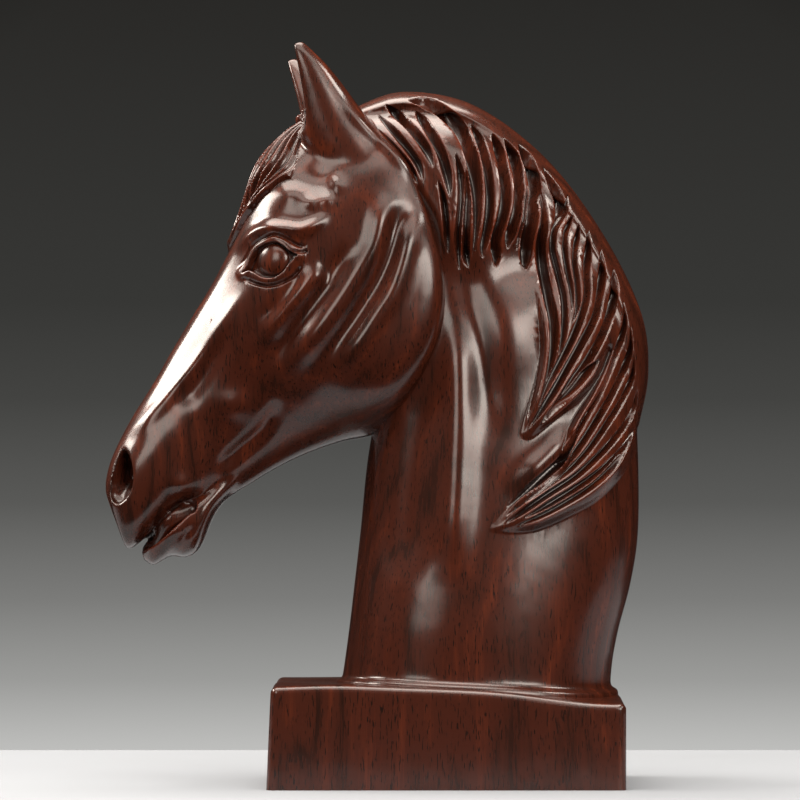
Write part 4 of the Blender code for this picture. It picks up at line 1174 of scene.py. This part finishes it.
def area_light(name, place, size, power):
    """A softbox of the given width and height that faces the carving."""
    light = bpy.data.lights.new(name, "AREA")
    light.shape = "RECTANGLE"
    light.size, light.size_y = size
    light.energy = power
    light.color = LIGHT_COLOUR
    item = linked(name, light)
    item.location = place
    item.rotation_euler = (Vector(LIT_PLACE) - Vector(place)).to_track_quat("-Z", "Y").to_euler()


class HORSEHEAD_OT_stage(bpy.types.Operator):
    """Set the pale board, the softboxes, the backdrop's light and the camera"""
    bl_idname = "horsehead.stage"
    bl_label = "Set Stage"

    def execute(self, context):
        scene = context.scene
        mesh = bpy.data.meshes.new("board")
        with opened(mesh) as board:
            bmesh.ops.create_cube(board, size=1.0)
            long, deep, thick = BOARD_SIZE
            for corner in board.verts:
                x, y, z = corner.co
                corner.co = Vector((x * long, BOARD_MIDDLE + y * deep, (z - 0.5) * thick))
            bmesh.ops.bevel(board, geom=board.edges[:], offset=BOARD_EDGE, segments=3,
                            profile=0.5, affect="EDGES")
        mesh.materials.append(matt_board())
        linked("board", mesh)
        for light in LIGHTS:
            area_light(*light)
        scene.world = bpy.data.worlds.new("studio")
        scene.world.use_nodes = True
        tree = scene.world.node_tree
        way = node(tree, "ShaderNodeSeparateXYZ", {
            "Vector": node(tree, "ShaderNodeTexCoord").outputs["Generated"]})
        height, beyond = (node(tree, "ShaderNodeMapRange", {
            "Value": way.outputs[axis], "From Min": low, "From Max": high}).outputs["Result"]
            for axis, low, high in (("Z", *BACKDROP_RANGE), ("Y", *BACKDROP_SIDES)))
        ramp = node(tree, "ShaderNodeValToRGB", {"Fac": height})
        set_stops(ramp.color_ramp, [(at, real(colour)) for at, colour in BACKDROP])
        tone = node(tree, "ShaderNodeMix", {
            0: beyond, 6: ramp.outputs["Color"], 7: real(ROOM)}, data_type="RGBA")
        tree.links.new(tone.outputs[2], tree.nodes["Background"].inputs["Color"])
        tree.nodes["Background"].inputs["Strength"].default_value = 1.0
        scene.view_settings.view_transform = "Standard"
        lens = bpy.data.cameras.new("camera")
        lens.lens = CAMERA_LENS
        lens.sensor_width = CAMERA_SENSOR
        lens.clip_end = CAMERA_REACH
        scene.camera = linked("camera", lens)
        scene.camera.location = CAMERA_PLACE
        scene.camera.rotation_euler = (math.pi / 2 + math.atan(CAMERA_RISE), 0.0, 0.0)
        return {"FINISHED"}


class HORSEHEAD_PT_panel(bpy.types.Panel):
    """Lists the steps of the carving with its sizes and finish"""
    bl_idname = "HORSEHEAD_PT_panel"
    bl_label = "Carved Horse Head"
    bl_space_type = "VIEW_3D"
    bl_region_type = "UI"
    bl_category = "Horse Head"

    def draw(self, context):
        for step in STEPS_IN_ORDER:
            self.layout.operator(step.bl_idname)
        for group in (context.scene.horse_head_shape, context.scene.horse_head_finish):
            box = self.layout.box()
            for name in group.__annotations__:
                box.prop(group, name)


STEPS_IN_ORDER = (HORSEHEAD_OT_head, HORSEHEAD_OT_neck, HORSEHEAD_OT_plinth,
                  HORSEHEAD_OT_stage)
CLASSES = (HorseHeadShape, HorseHeadFinish, *STEPS_IN_ORDER, HORSEHEAD_PT_panel)


def register():
    for made in CLASSES:
        bpy.utils.register_class(made)
    bpy.types.Scene.horse_head_shape = PointerProperty(type=HorseHeadShape)
    bpy.types.Scene.horse_head_finish = PointerProperty(type=HorseHeadFinish)


def unregister():
    del bpy.types.Scene.horse_head_finish
    del bpy.types.Scene.horse_head_shape
    for made in reversed(CLASSES):
        bpy.utils.unregister_class(made)


def main():
    register()
    bpy.ops.horsehead.head()
    bpy.ops.horsehead.neck()
    bpy.ops.horsehead.plinth()
    bpy.ops.horsehead.stage()


if __name__ == "__main__":
    main()
